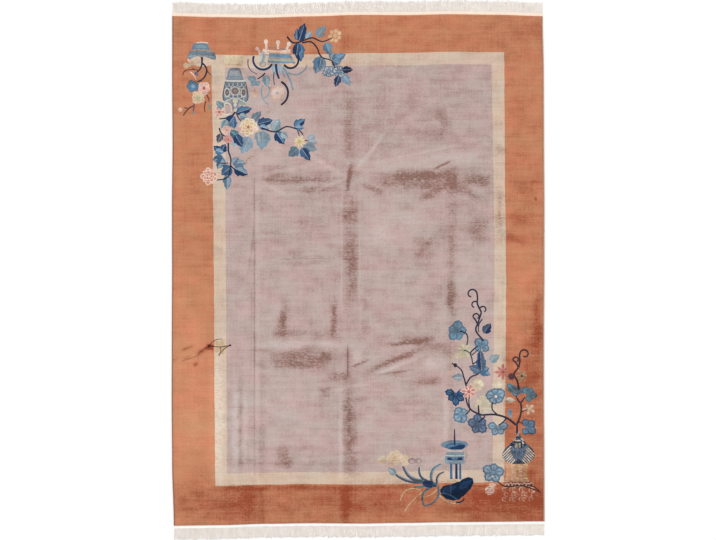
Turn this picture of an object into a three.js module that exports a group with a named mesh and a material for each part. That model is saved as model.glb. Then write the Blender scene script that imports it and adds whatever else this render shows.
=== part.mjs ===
// A hand-knotted Chinese wool rug of room size, lying flat with its pile up.
// The pile and its cotton foundation are one thick mat. Each long edge is wound with yarn into a
// round side cord. Each end has a narrow woven cotton web, out of which the warps hang as a fringe.
// Millimetres, +Z up, +Y along the rug's length, origin under the middle of the rug on the floor.
import * as THREE from "three";

// Driving dimensions
const RUG_WIDTH = 2670; // over both side cords
const PILE_LENGTH = 3640; // pile only, end to end
const PILE_HEIGHT = 12; // foundation and pile together
const PILE_SIDE_HEIGHT = 7; // where the upright side of the pile starts to round over
const PILE_ROUNDING = 9; // how far in from the edge the rounding reaches
const CORD_DIAMETER = 9;
const WEB_WIDTH = 22; // the woven strip beyond the pile at each end
const COTTON_THICKNESS = 3; // the web and the fringe lie at this thickness
const FRINGE_LENGTH = 88; // longest strand, beyond the web
const STRANDS_PER_END = 150;
const STRAND_ROOT_WIDTH = 15;
const STRAND_TIP_WIDTH = 13;
const STRAND_LEAN = 1.6; // how far a strand strays sideways
const STRAND_SHORTFALL = 9; // how much shorter the shortest strand is
const SEAM_GAP = 0.3; // clearance between neighbouring pieces

const HALF_WIDTH = RUG_WIDTH / 2;
const HALF_LENGTH = PILE_LENGTH / 2;
const PILE_HALF_WIDTH = HALF_WIDTH - CORD_DIAMETER - SEAM_GAP;
const WEB_START = HALF_LENGTH + SEAM_GAP;
const WEB_END = HALF_LENGTH + WEB_WIDTH;

// The rug has stretched out of true. Each table says how far one edge stands outside the
// straight nominal rectangle, at even steps along it.
const EDGE_WANDER = {
  left: [-11, 1, 4, 3, 1.5, 2, -2, 0.7, 0.2], // from the lower end to the upper end
  right: [3, 2, -0.7, -0.5, 2, 2.3, -0.6, -2, -10],
  lower: [17, 13, 3, -1.2, 1.2, -3.6, -8.6, -11.5, -15], // from the left edge to the right edge
  upper: [-2, -10, -13.5, -4.3, 5.7, 4.5, 11, 7, -3],
};

// Shallow troughs (negative) and ridges pressed in where the rug was once folded. A crease runs along
// the length at a given x, or across the width at a given y, and fades out beyond its two ends.
const CREASES = [
  { runs: "length", at: -755, from: -1500, to: 700, width: 34, height: -1.4 },
  { runs: "length", at: -715, from: -1500, to: 700, width: 30, height: 0.8 },
  { runs: "length", at: -50, from: -1550, to: 1350, width: 48, height: -1.6 },
  { runs: "length", at: 655, from: -700, to: 1150, width: 46, height: -1.5 },
  { runs: "width", at: 620, from: -800, to: 900, width: 52, height: -1.5 },
  { runs: "width", at: 700, from: -700, to: 850, width: 60, height: 1.0 },
  { runs: "width", at: 80, from: -950, to: 500, width: 34, height: -1.1 },
  { runs: "width", at: -560, from: -700, to: 450, width: 58, height: -1.5 },
  { runs: "width", at: -470, from: -500, to: 600, width: 60, height: 1.1 },
];
const CREASE_FADE = 220;

// Value of a table of even steps at t from 0 to 1, along a smooth curve.
function alongTable(table, t) {
  const place = Math.min(Math.max(t, 0), 1) * (table.length - 1);
  const step = Math.min(Math.floor(place), table.length - 2);
  const f = place - step;
  const ease = f * f * (3 - 2 * f);
  return table[step] * (1 - ease) + table[step + 1] * ease;
}

// Carries a point of the straight nominal layout to where the stretched rug has it.
function stretched(x, y) {
  const across = Math.min(Math.max((x + HALF_WIDTH) / RUG_WIDTH, 0), 1);
  const along = Math.min(Math.max((y + HALF_LENGTH) / PILE_LENGTH, 0), 1);
  const left = -alongTable(EDGE_WANDER.left, along);
  const right = alongTable(EDGE_WANDER.right, along);
  const lower = -alongTable(EDGE_WANDER.lower, across);
  const upper = alongTable(EDGE_WANDER.upper, across);
  return [x + left + (right - left) * across, y + lower + (upper - lower) * along];
}

// Height added to the pile by the old folds.
function creaseHeight(x, y) {
  let sum = 0;
  for (const crease of CREASES) {
    const [off, way] = crease.runs === "length" ? [x - crease.at, y] : [y - crease.at, x];
    const past = Math.max(crease.from - way, way - crease.to, 0) / CREASE_FADE;
    sum += crease.height * Math.exp(-((off / crease.width) ** 2) - past ** 2);
  }
  return sum;
}

// Height of the pile's face, which rounds over to the upright side near every edge.
function pileHeight(x, y) {
  const inset = Math.min(PILE_HALF_WIDTH - Math.abs(x), HALF_LENGTH - Math.abs(y));
  const rise = Math.sqrt(1 - (1 - Math.min(Math.max(inset / PILE_ROUNDING, 0), 1)) ** 2);
  const side = PILE_SIDE_HEIGHT + (PILE_HEIGHT - PILE_SIDE_HEIGHT) * rise;
  return side + creaseHeight(x, y) * rise;
}

// Stations from -half to half: close together at the rounded edges and at the creases.
function stations(half, creasesHere, spacing) {
  const found = [0, 2.5, PILE_ROUNDING].flatMap((inset) => [inset - half, half - inset]);
  for (const crease of creasesHere) {
    for (const share of [-1.3, -0.6, 0, 0.6, 1.3]) found.push(crease.at + share * crease.width);
  }
  for (let place = spacing - half; place < half - spacing / 2; place += spacing) {
    const nearest = Math.min(...found.map((other) => Math.abs(other - place)));
    if (nearest > spacing * 0.45) found.push(place);
  }
  return found.sort((a, b) => a - b).filter((place, i, all) => i === 0 || place - all[i - 1] > 2);
}

const COLUMNS = stations(
  PILE_HALF_WIDTH,
  CREASES.filter((crease) => crease.runs === "length"),
  120,
);
const ROWS = stations(
  HALF_LENGTH,
  CREASES.filter((crease) => crease.runs === "width"),
  130,
);

function geometryFrom(points, triangles) {
  const geometry = new THREE.BufferGeometry();
  geometry.setAttribute("position", new THREE.Float32BufferAttribute(points.flat(), 3));
  geometry.setIndex(triangles.flat());
  geometry.computeVertexNormals();
  return geometry;
}

function cotton(colour) {
  return new THREE.MeshStandardMaterial({ color: colour, roughness: 0.95, metalness: 0 });
}

// The mat: a grid for the pile's face, an upright side all round, and a flat underside.
function pileBody() {
  const points = [];
  const triangles = [];
  for (const y of ROWS) {
    for (const x of COLUMNS) points.push([...stretched(x, y), pileHeight(x, y)]);
  }
  const wide = COLUMNS.length;
  const high = ROWS.length;
  for (let row = 0; row < high - 1; row++) {
    for (let column = 0; column < wide - 1; column++) {
      const a = row * wide + column;
      triangles.push([a, a + 1, a + wide + 1], [a, a + wide + 1, a + wide]);
    }
  }
  const rim = [];
  for (let column = 0; column < wide - 1; column++) rim.push(column);
  for (let row = 0; row < high - 1; row++) rim.push(row * wide + wide - 1);
  for (let column = wide - 1; column > 0; column--) rim.push((high - 1) * wide + column);
  for (let row = high - 1; row > 0; row--) rim.push(row * wide);
  const floorStart = points.length;
  for (const i of rim) points.push([points[i][0], points[i][1], 0]);
  rim.forEach((top, i) => {
    const next = (i + 1) % rim.length;
    triangles.push([top, floorStart + i, floorStart + next], [top, floorStart + next, rim[next]]);
  });
  const middle = points.length;
  points.push([0, 0, 0]);
  rim.forEach((_, i) => {
    triangles.push([middle, floorStart + ((i + 1) % rim.length), floorStart + i]);
  });
  const wool = new THREE.MeshStandardMaterial({ color: "#c07c5c", roughness: 0.95, metalness: 0 });
  const mesh = new THREE.Mesh(geometryFrom(points, triangles), wool);
  mesh.name = "pile_body";
  return mesh;
}

// A round cord laid along one long edge, touching the floor with one flat of its eight.
function sideCord(name, side) {
  const radius = CORD_DIAMETER / 2;
  const corners = 8;
  const points = [];
  const triangles = [];
  for (const y of ROWS) {
    const [x, along] = stretched(side * (HALF_WIDTH - radius), y);
    for (let i = 0; i < corners; i++) {
      const angle = ((i + 0.5) / corners) * 2 * Math.PI;
      const reach = radius / Math.cos(Math.PI / corners);
      points.push([x + radius * Math.cos(angle), along, radius + reach * Math.sin(angle)]);
    }
  }
  const last = (ROWS.length - 1) * corners;
  for (let ring = 0; ring < last; ring += corners) {
    for (let i = 0; i < corners; i++) {
      const a = ring + i;
      const b = ring + ((i + 1) % corners);
      triangles.push([a, b, b + corners], [a, b + corners, a + corners]);
    }
  }
  for (let i = 1; i < corners - 1; i++) {
    triangles.push([0, i + 1, i], [last, last + i, last + i + 1]);
  }
  // Seen along +Y the rings run clockwise, so the faces are turned to look outwards.
  const outward = triangles.map(([a, b, c]) => [a, c, b]);
  const yarn = new THREE.MeshStandardMaterial({ color: "#a5745a", roughness: 0.95, metalness: 0 });
  const mesh = new THREE.Mesh(geometryFrom(points, outward), yarn);
  mesh.name = name;
  return mesh;
}

// A repeatable number from 0 to 1 for strand i, different for each use.
function vary(i, use) {
  const wave = Math.sin(i * 12.9898 + use * 78.233) * 43758.5453;
  return wave - Math.floor(wave);
}

// One end's web and fringe, cut as one comb: the web's inner edge follows the pile, and every strand
// is a flat four-sided lock that lies on the floor.
function fringe(name, end) {
  const pitch = RUG_WIDTH / STRANDS_PER_END;
  const outline = [-HALF_WIDTH, ...COLUMNS, HALF_WIDTH].map((x) => [x, WEB_START]).reverse();
  for (let i = 0; i < STRANDS_PER_END; i++) {
    const root = -HALF_WIDTH + (i + 0.5) * pitch;
    const lean = (vary(i, end + 2) * 2 - 1) * STRAND_LEAN;
    const tip = WEB_END + FRINGE_LENGTH - vary(i, end + 5) * STRAND_SHORTFALL;
    const middle = (WEB_END + tip) / 2;
    const sway = (vary(i, end + 8) * 2 - 1) * STRAND_LEAN * 0.6;
    const half = [STRAND_ROOT_WIDTH / 2, (STRAND_ROOT_WIDTH + STRAND_TIP_WIDTH) / 4, STRAND_TIP_WIDTH / 2];
    outline.push([root - half[0], WEB_END], [root + sway - half[1], middle]);
    outline.push([root + lean - half[2], tip], [root + lean + half[2], tip]);
    outline.push([root + sway + half[1], middle], [root + half[0], WEB_END]);
  }
  outline.splice(COLUMNS.length + 2, 0, [-HALF_WIDTH, WEB_END]);
  outline.push([HALF_WIDTH, WEB_END]);
  const placed = outline.map(([x, y]) => new THREE.Vector2(...stretched(x, end * y)));
  const shape = new THREE.Shape(placed);
  const geometry = new THREE.ExtrudeGeometry(shape, { depth: COTTON_THICKNESS, bevelEnabled: false });
  const mesh = new THREE.Mesh(geometry, cotton("#efe6da"));
  mesh.name = name;
  return mesh;
}

const rug = new THREE.Group();
rug.add(pileBody());
rug.add(sideCord("side_cord_left", -1), sideCord("side_cord_right", 1));
rug.add(fringe("fringe_upper", 1), fringe("fringe_lower", -1));

// The stretched outline isn't centred, so the rug is moved until its bounding box is.
const middle = new THREE.Box3().setFromObject(rug).getCenter(new THREE.Vector3());
for (const mesh of rug.children) mesh.geometry.translate(-middle.x, -middle.y, 0);

export default rug;
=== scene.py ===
"""A hand-knotted Chinese wool rug of room size, lying flat with its pile up on a pale floor.

Metres, +Z up, +Y along the rug. The rug is laid out straight, from its middle, and every piece is
then carried to where the stretched rug lies. The design is knotted into the pile: ground, band, field
and motifs are flush, and each is its own yarn.
"""
import cmath
import math
import random

import bpy
import numpy as np
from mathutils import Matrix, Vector, geometry, noise


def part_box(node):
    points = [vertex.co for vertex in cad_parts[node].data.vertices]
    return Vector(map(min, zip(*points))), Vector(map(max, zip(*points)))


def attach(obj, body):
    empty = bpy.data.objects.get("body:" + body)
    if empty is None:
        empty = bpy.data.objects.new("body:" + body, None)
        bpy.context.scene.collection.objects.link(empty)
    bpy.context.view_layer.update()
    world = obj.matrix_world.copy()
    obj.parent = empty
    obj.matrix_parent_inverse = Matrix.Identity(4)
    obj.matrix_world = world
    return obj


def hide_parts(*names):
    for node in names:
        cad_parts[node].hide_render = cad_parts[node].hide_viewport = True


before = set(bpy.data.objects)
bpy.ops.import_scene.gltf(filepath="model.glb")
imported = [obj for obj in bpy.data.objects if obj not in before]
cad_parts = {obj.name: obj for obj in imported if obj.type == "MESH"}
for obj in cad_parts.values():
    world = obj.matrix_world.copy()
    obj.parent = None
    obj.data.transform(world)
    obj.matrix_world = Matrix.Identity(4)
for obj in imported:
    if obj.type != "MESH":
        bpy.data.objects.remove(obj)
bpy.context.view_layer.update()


# How the rug lies. A rug like this is knotted straight and stretches out of true in use. Its edges
# wander by up to 17 mm, and old folds have left shallow troughs and ridges across the pile.
RUG_WIDTH = 2.670
PILE_LENGTH = 3.640
PILE_HEIGHT = 0.012
PILE_SIDE_HEIGHT = 0.007
PILE_ROUNDING = 0.009
CORD_DIAMETER = 0.009
SEAM_GAP = 0.0003
HALF_WIDTH = RUG_WIDTH / 2
HALF_LENGTH = PILE_LENGTH / 2
PILE_HALF_WIDTH = HALF_WIDTH - CORD_DIAMETER - SEAM_GAP
# How far each edge stands outside the straight rectangle at even steps along it, in millimetres.
EDGE_WANDER = {
    "left": (-11, 1, 4, 3, 1.5, 2, -2, 0.7, 0.2),
    "right": (3, 2, -0.7, -0.5, 2, 2.3, -0.6, -2, -10),
    "lower": (17, 13, 3, -1.2, 1.2, -3.6, -8.6, -11.5, -15),
    "upper": (-2, -10, -13.5, -4.3, 5.7, 4.5, 11, 7, -3),
}
# Each crease: the way it runs, where, from, to, width and height, in millimetres.
CREASES = (
    ("length", -755, -1500, 700, 34, -1.4),
    ("length", -715, -1500, 700, 30, 0.8),
    ("length", -50, -1550, 1350, 48, -1.6),
    ("length", 655, -700, 1150, 46, -1.5),
    ("width", 620, -800, 900, 52, -1.5),
    ("width", 700, -700, 850, 60, 1.0),
    ("width", 80, -950, 500, 34, -1.1),
    ("width", -560, -700, 450, 58, -1.5),
    ("width", -470, -500, 600, 60, 1.1),
)
CREASE_FADE = 220


def clamp(value, low=0.0, high=1.0):
    return min(max(value, low), high)


def wander(edge, t):
    """How far an edge stands out at t from 0 to 1 along it, in metres."""
    table = EDGE_WANDER[edge]
    place = clamp(t) * (len(table) - 1)
    step = min(int(place), len(table) - 2)
    share = place - step
    ease = share * share * (3 - 2 * share)
    return (table[step] * (1 - ease) + table[step + 1] * ease) / 1000


def stretched(x, y):
    """Carries a point of the straight layout to the stretched rug, before it is centred."""
    across = clamp((x + HALF_WIDTH) / RUG_WIDTH)
    along = clamp((y + HALF_LENGTH) / PILE_LENGTH)
    left, right = -wander("left", along), wander("right", along)
    lower, upper = -wander("lower", across), wander("upper", across)
    return x + left + (right - left) * across, y + lower + (upper - lower) * along


edge_steps = [step / 200 - 1 for step in range(401)]
outline = [stretched(side * PILE_HALF_WIDTH, step * HALF_LENGTH) for side in (-1, 1) for step in edge_steps]
outline += [stretched(step * PILE_HALF_WIDTH, end * HALF_LENGTH) for end in (-1, 1) for step in edge_steps]
pile_low, pile_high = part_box("pile_body")
MOVED_X = (pile_low.x + pile_high.x - min(p[0] for p in outline) - max(p[0] for p in outline)) / 2
MOVED_Y = (pile_low.y + pile_high.y - min(p[1] for p in outline) - max(p[1] for p in outline)) / 2


def straightened(point):
    """Where a point of the stretched rug was in the straight layout, as complex numbers."""
    return 2 * point - complex(*stretched(point.real, point.imag))


def laid(x, y):
    """Where a point of the straight layout lies on the floor."""
    there_x, there_y = stretched(x, y)
    return there_x + MOVED_X, there_y + MOVED_Y


def crease_height(x, y):
    total = 0.0
    for runs, at, start, end, width, height in CREASES:
        off, way = (x * 1000 - at, y * 1000) if runs == "length" else (y * 1000 - at, x * 1000)
        past = max(start - way, way - end, 0) / CREASE_FADE
        total += height * math.exp(-((off / width) ** 2) - past**2)
    return total / 1000


def pile_height(x, y):
    """Height of the pile's face, which rounds over to its upright side near every edge."""
    inset = min(PILE_HALF_WIDTH - abs(x), HALF_LENGTH - abs(y))
    rise = math.sqrt(1 - (1 - clamp(inset / PILE_ROUNDING)) ** 2)
    return PILE_SIDE_HEIGHT + (PILE_HEIGHT - PILE_SIDE_HEIGHT + crease_height(x, y)) * rise


# The grounds: a terracotta border, a cream band and a rose-grey field, each knotted up to the next
# with an edge that steps by a knot here and there. The design is charted in squares of two knots,
# from the rug's middle, as complex numbers.
SQUARE = 0.0071663
YARNS = {
    "terracotta": "#c58360",
    "cream": "#d6beaa",
    "rosegrey": "#c2aaa4",
    "deep": "#062647",
    "navy": "#1d3a60",
    "ink": "#262b40",
    "indigo": "#375578",
    "blue": "#577d9b",
    "sky": "#86a1b3",
    "mist": "#9ca8ae",
    "teal": "#57808c",
    "slate": "#636e7a",
    "pale": "#e2d3c4",
    "rose": "#cf8f88",
    "brick": "#b0605a",
    "blush": "#e9c6b6",
    "peach": "#dab08e",
    "gold": "#c9a36c",
    "straw": "#d9caa2",
    "sage": "#b4b698",
    "bark": "#5b3d36",
    "plum": "#6a4f5e",
    "grey": "#858b90",
    "violet": "#777b95",
    "tan": "#b48d74",
    # crease: a darker rose-grey, painted shade where the pile has parted along the folds
    "crease": "#8b726d",
    "soil": "#54302a",
    "cotton": "#fbeae2",
    "web": "#fde0cd",
    "bleached": "#fffaf6",
}
LIGHT_LEVEL = 1.18  # what the floor's light multiplies a colour by, so a yarn is dyed darker by that


def dyed(names, level=LIGHT_LEVEL):
    """The linear colour that shows as a yarn's colour in this light. "navy+sky" is a mix of two."""
    found = []
    for name in names.split("+"):
        shown = [int(YARNS[name][i : i + 2], 16) / 255 for i in (1, 3, 5)]
        found.append([c / 12.92 if c <= 0.04045 else ((c + 0.055) / 1.055) ** 2.4 for c in shown])
    return tuple(min(sum(channel) / len(found) / level, 0.98) for channel in zip(*found)) + (1.0,)


shapes = []  # (piece, yarn, outline in metres), each covering what was knotted before it


def edges_of(points):
    """Each edge of a closed outline, from one point to the next."""
    return zip(points, points[1:] + points[:1])


def knot(piece, yarn, points):
    """Adds a shape to the design, its outline running anticlockwise."""
    turns = sum((a.conjugate() * b).imag for a, b in edges_of(points))
    shapes.append((piece, yarn, points if turns > 0 else points[::-1]))


EDGE_STEP, EDGE_STRAY = 0.038, 0.0018  # how often a ground's edge steps, and by how much at most


def uneven(start, end, seed):
    """A straight edge that strays by a knot now and then, without its last point."""
    rng = random.Random(seed)
    count = max(int(abs(end - start) / EDGE_STEP), 1)
    normal = (end - start) * 1j / abs(end - start)
    stray = [0.0] + [rng.uniform(-EDGE_STRAY, EDGE_STRAY) for _ in range(count - 1)]
    return [start + (end - start) * i / count + normal * stray[i] for i in range(count)]


def ground(corners, seed):
    """The uneven outline of a ground, each edge from a seed of its own."""
    return [point for i, (a, b) in enumerate(edges_of(corners)) for point in uneven(a, b, seed + i)]


PILE_CORNERS = [
    complex(-PILE_HALF_WIDTH, -HALF_LENGTH),
    complex(PILE_HALF_WIDTH, -HALF_LENGTH),
    complex(PILE_HALF_WIDTH, HALF_LENGTH),
    complex(-PILE_HALF_WIDTH, HALF_LENGTH),
]
BAND_CORNERS = [
    -1.026 - 1.539j, -0.490 - 1.5365j, -0.130 - 1.539j, 0.228 - 1.5406j, 1.045 - 1.535j,
    1.058 - 0.800j, 1.059 - 0.100j, 1.050 + 0.640j, 1.050 + 1.551j,
    0.080 + 1.546j, -0.810 + 1.547j, -1.051 + 1.550j, -1.046 + 1.070j, -1.037 + 0.426j,
    -1.030 - 0.430j, -1.025 - 1.080j,
]
FIELD_CORNERS = [
    -0.940 - 1.449j, -0.130 - 1.454j, 0.228 - 1.4535j, 0.590 - 1.449j, 0.962 - 1.447j,
    0.974 - 0.450j, 0.976 + 0.200j, 0.958 + 1.462j,
    0.080 + 1.457j, -0.810 + 1.456j, -0.953 + 1.460j, -0.950 + 0.426j, -0.943 - 0.430j, -0.938 - 1.080j,
]
RIM_STEP = 0.014
pile_rim = []
for corner, after in edges_of(PILE_CORNERS):
    steps = round(abs(after - corner) / RIM_STEP)
    pile_rim += [corner + (after - corner) * step / steps for step in range(steps)]
knot("pile_border", "terracotta", pile_rim)
knot("pile_band", "cream", ground(BAND_CORNERS, 11))
knot("pile_field", "rosegrey", ground(FIELD_CORNERS, 31))


# The jar with plum twigs, knotted head down in the upper left corner, as the rest of that corner is.
# A corner's chart has its own origin. Its motifs are drawn as leaves, flowers, stems and pots.
HUNG, UPRIGHT = -1, 1


class Chart:
    """A chart for one group of motifs: squares from an origin, upright or head down."""

    def __init__(self, piece, origin, turn):
        self.piece, self.turn = piece, turn
        self.origin = straightened(origin * SQUARE) / SQUARE

    def add(self, yarn, points):
        knot(self.piece, yarn, [(self.origin + self.turn * point) * SQUARE for point in points])


def pot(chart, yarn, rows, sag=0.0):
    """A pot's outline from rows of (height, one side, other side); its level edges sag by sag."""
    low, high = rows[0], rows[-1]
    bulge = [t / 6 for t in range(1, 6)]
    foot = [complex(low[1] + (low[2] - low[1]) * t, low[0] + sag * 4 * t * (1 - t)) for t in bulge]
    rim = [complex(high[2] + (high[1] - high[2]) * t, high[0] + sag * 4 * t * (1 - t)) for t in bulge]
    right = [complex(row[2], row[0]) for row in rows]
    left = [complex(row[1], row[0]) for row in rows[::-1]]
    chart.add(yarn, (foot if sag else []) + right + (rim if sag else []) + left)


def round_pot(chart, yarn, profile, middle=0.0, sag=0.0):
    """A pot that is alike on both sides of its middle, from rows of (height, half width)."""
    pot(chart, yarn, [(height, middle - half, middle + half) for height, half in profile], sag)


def smooth(points, parts=3):
    """A soft curve through the points."""
    padded = [2 * points[0] - points[1], *points, 2 * points[-1] - points[-2]]
    path = []
    for a, b, c, d in zip(padded, padded[1:], padded[2:], padded[3:]):
        for part in range(parts):
            t = part / parts
            path.append(
                b + (c - a) * t / 2 + (a - 2.5 * b + 2 * c - d / 2) * t**2
                + (1.5 * b - a / 2 - 1.5 * c + d / 2) * t**3
            )
    return path + [points[-1]]


def stem(chart, yarn, width, tip_width, *points, parts=3):
    """A line of knots along a smooth path, narrowing evenly to its tip."""
    path = smooth(points, parts) if len(points) > 2 else list(points)
    sides = []
    for i, here in enumerate(path):
        way = path[min(i + 1, len(path) - 1)] - path[max(i - 1, 0)]
        reach = way / abs(way) * 0.5j * (width + (tip_width - width) * i / (len(path) - 1))
        sides.append((here - reach, here + reach))
    for (a, b), (c, d) in zip(sides, sides[1:]):
        chart.add(yarn, [a, c, d, b])


def round_points(at, radius, count, lobes=0, depth=0.0, squash=1.0, turn=0.0):
    """Points round a circle, an oval or a scalloped disc."""
    points = []
    for i in range(count):
        angle = math.tau * i / count
        reach = radius * (1 - depth * (1 - abs(math.cos(lobes * angle / 2))))
        offset = cmath.rect(reach, angle)
        points.append(at + complex(offset.real, offset.imag * squash) * cmath.rect(1, math.radians(turn)))
    return points


def blob(chart, yarn, at, radius, squash=1.0, turn=0.0, lobes=0, depth=0.0):
    """A round, oval or scalloped patch."""
    chart.add(yarn, round_points(at, radius, max(10, lobes * 4), lobes, depth, squash, turn))


def ring(chart, yarn, at, radius, width, squash=1.0):
    """A round line of knots."""
    count = 12
    inner = round_points(at, radius - width / 2, count, squash=squash)
    outer = round_points(at, radius + width / 2, count, squash=squash)
    for i in range(count):
        chart.add(yarn, [inner[i - 1], outer[i - 1], outer[i], inner[i]])


def twig(chart, yarn, width, start, end, bow=0.0, tip=0.7):
    """A twig or blade that bows to its left by a share of its length, thinner at its tip."""
    way = end - start
    knees = [start + way * t + way * 1j * bow * 4 * t * (1 - t) for t in (0, 0.25, 0.5, 0.75, 1)]
    stem(chart, yarn, width, width * tip, *knees, parts=2)


def twigs(chart, yarn, *rows):
    """Twigs in one yarn, each from (width, start, end, bow)."""
    for row in rows:
        twig(chart, yarn, *row)


def curl(chart, yarn, width, start, heading, radius, turns, tighten=0.5):
    """A tendril's curl: a spiral that tightens as it goes, clockwise for negative turns."""
    steps, path = 14, [start]
    for i in range(steps):
        reach = math.tau * abs(turns) * radius * (1 - tighten * i / steps) / steps
        way = math.radians(heading) + math.tau * turns * (i + 0.5) / steps
        path.append(path[-1] + cmath.rect(reach, way))
    stem(chart, yarn, width, width * 0.8, *path, parts=1)


def leaf(chart, yarn, side, base, tip, width, teeth=2):
    """A pointed leaf with forward teeth, one half of it in a side yarn beside a pale midrib."""
    way = tip - base
    across = way * 1j / abs(way)

    def edge(t, reach):
        return base + way * t + across * reach * width * 0.62 * math.sin(math.pi * t**0.72) ** 0.85

    def half(sign, full=1.0):
        points = [edge(0.07, sign * full), edge(0.2, sign * full)]
        for tooth in range(1, teeth + 1):
            peak = 0.16 + 0.62 * tooth / teeth
            points += [edge(peak, sign * full * 1.1), edge(peak + 0.05, sign * full * 0.82)]
        return points if teeth else [edge(i / 8, sign * full) for i in range(1, 8)]

    chart.add(yarn, [base, *half(-1), tip, *half(1)[::-1]])
    if side:
        midrib = [edge(t, 0) for t in (0.25, 0.5, 0.75)]
        chart.add(f"{yarn}+{side}", [base, *midrib, tip, *half(1)[::-1]])
        chart.add(side, [edge(0.12, 0.1), *half(1, 0.66)[1:], edge(0.94, 0.1)])
        stem(chart, f"{side}+pale", 0.5, 0.3, edge(0.05, 0), edge(0.85, 0))


def leaves(chart, *rows):
    """Leaves, each from (yarn, side yarn, base, tip, width)."""
    for row in rows:
        leaf(chart, *row)


# Half outlines of a petal: how far out, and how wide there.
PETAL_FORMS = {
    "round": ((0.04, 0.10), (0.25, 0.50), (0.55, 0.86), (0.84, 0.78), (1.0, 0.32)),
    "pointed": ((0.0, 0.08), (0.34, 0.40), (0.64, 0.46), (1.0, 0.0)),
    "lobed": ((0.0, 0.10), (0.30, 0.66), (0.54, 1.0), (0.62, 0.74), (0.82, 0.66), (0.87, 0.36), (1.0, 0.0)),
}


def petal(chart, yarn, at, way, wide, form, full=1.0, squash=1.0):
    """One petal from at along way, shrunk about its middle by full."""
    outline = [(out, half) for out, half in PETAL_FORMS[form]]
    outline += [(out, -half) for out, half in outline[::-1] if half]
    for_side = way * 1j / abs(way) * wide
    offsets = [way * 0.56 + (way * (out - 0.56) - for_side * half) * full for out, half in outline]
    chart.add(yarn, [at + complex(point.real, point.imag * squash) for point in offsets])


def petals(chart, yarn, at, radius, count, form, turn, full=1.0, squash=1.0):
    """Petals all round a point, each a little longer or shorter than the next."""
    for i in range(count):
        length = radius * (1 + 0.09 * math.sin(3.7 * i + at.real))
        way = cmath.rect(length, math.tau * i / count + math.radians(turn))
        petal(chart, yarn, at, way, length * math.sin(math.pi / count), form, full, squash)


def blossom(chart, yarn, side, at, radius, count=5, turn=0.0, spread=360.0):
    """A blossom of veined, lobed petals round a point, or fanned out as seen from the side."""
    for i in range(count):
        share = i / count if spread == 360 else i / (count - 1) - 0.5
        reach = radius * (1 + 0.12 * math.sin(2.3 * i + at.real))
        way = cmath.rect(reach, math.radians(turn + spread * share))
        wide = abs(way) * math.sin(math.pi * spread / 360 / count) * 1.05
        petal(chart, yarn, at, way, wide, "lobed")
        petal(chart, side, at, way, wide, "lobed", 0.62)
        petal(chart, f"{side}+{yarn}", at, way * 0.7, wide * 0.5, "pointed")
        stem(chart, yarn, 0.8, 0.4, at + way * 0.1, at + way * 0.8)
    blob(chart, f"{yarn}+{side}", at, radius * 0.15)


def flower(chart, yarn, at, radius, count, edge=None, heart=None, form="round", turn=0.0, eye=0.2):
    """An open flower: outlined petals round a heart."""
    if edge:
        petals(chart, edge, at, radius, count, form, turn)
    petals(chart, yarn, at, radius, count, form, turn, 0.66 if edge else 1.0)
    if heart:
        blob(chart, heart, at, radius * eye)


def peony(chart, at, radius, edge, fill, heart, squash=1.0):
    """A full flower: three rings of outlined petals round a small heart."""
    for ring_radius, count, twist in ((radius, 9, 0), (radius * 0.72, 7, 22), (radius * 0.44, 5, 40)):
        petals(chart, edge, at, ring_radius, count, "round", twist, 1.0, squash)
        petals(chart, fill, at, ring_radius, count, "round", twist, 0.62, squash)
    blob(chart, heart, at, radius * 0.15, squash)


jar = Chart("pile_jar_twigs", -156.2 + 227.5j, HUNG)
pot(jar, "grey", [(1.5, -6, 8), (3, -7, 10)], -0.6)
pot(jar, "pale", [(0.5, -6, 5.5), (1.5, -6, 6)], -0.7)
pot(jar, "blue+grey", [(2.5, -6, 9), (5.5, -7, 10), (8.5, -9, 10.5)], -0.5)
pot(jar, "teal+mist", [(3.5, -4, 6), (6.5, -5, 6.5)], -0.4)
pot(jar, "mist+tan", [(8, -10, 11), (10, -12, 12)], -0.9)
pot(jar, "grey+slate", [(10, -12, 12.5), (14, -14, 14), (17.5, -14, 15)], -0.9)
pot(jar, "blue+mist", [(10, -8.5, 11), (14.5, -10, 13)], -0.8)
for middle in range(-6, 11, 4):
    pot(jar, "teal+mist", [(10.5, middle - 1.2, middle + 1.2), (13.5, middle - 1.3, middle + 1.3)], -0.2)
pot(jar, "mist+sky", [(14, -12, 13), (16, -13, 14)], -0.9)
blob(jar, "peach+pale", 1 + 19.5j, 12.2, 0.42)
for i in range(6):
    dash = complex(7 - 2.6 * i, 17 + 2.4 * (i % 3))
    twig(jar, "mist+pale", 0.9, dash, dash - 3.6)
    twig(jar, "peach", 0.8, dash + 1.3j, dash - 3.6 + 1.3j)
twigs(jar, "blush", (1.8, 14 + 17j, 9 + 23j, -0.12), (1.3, 12 + 30j, 6 + 38j, 0.1))
twigs(jar, "ink", (2.2, 15j, 22j, 0), (2.0, 21j, -5 + 29j, 0.12), (1.8, -5 + 28j, 5 + 40j, 0.16),
      (1.7, 21j, 6 + 31j, 0.12))
twigs(jar, "plum", (1.2, 37j, 1 + 41j, 0), (1.4, -4 + 51j, -7 + 60j, 0.06), (1.6, 8 + 59j, 9 + 69j, 0.04))
twigs(jar, "bark", (1.1, 2 + 28j, 10 + 26j, 0.12), (1.1, 6 + 28j, 17 + 29j, -0.05),
      (1.1, 16 + 29j, 19 + 34j, -0.2), (1.1, -5 + 29j, -9 + 33j, 0),
      (1.3, -4 + 59j, -3 + 70j, -0.1), (1.4, 9 + 64j, 19 + 74j, -0.08),
      (1.2, 13 + 67j, 18 + 66j, 0))
twigs(jar, "tan", (1.0, -7 + 24j, -9 + 27j, 0), (1.1, -2 + 27j, 1 + 33j, 0))
leaf(jar, "plum+violet", None, 7 + 30j, 4 + 34j, 3, 0)
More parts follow.
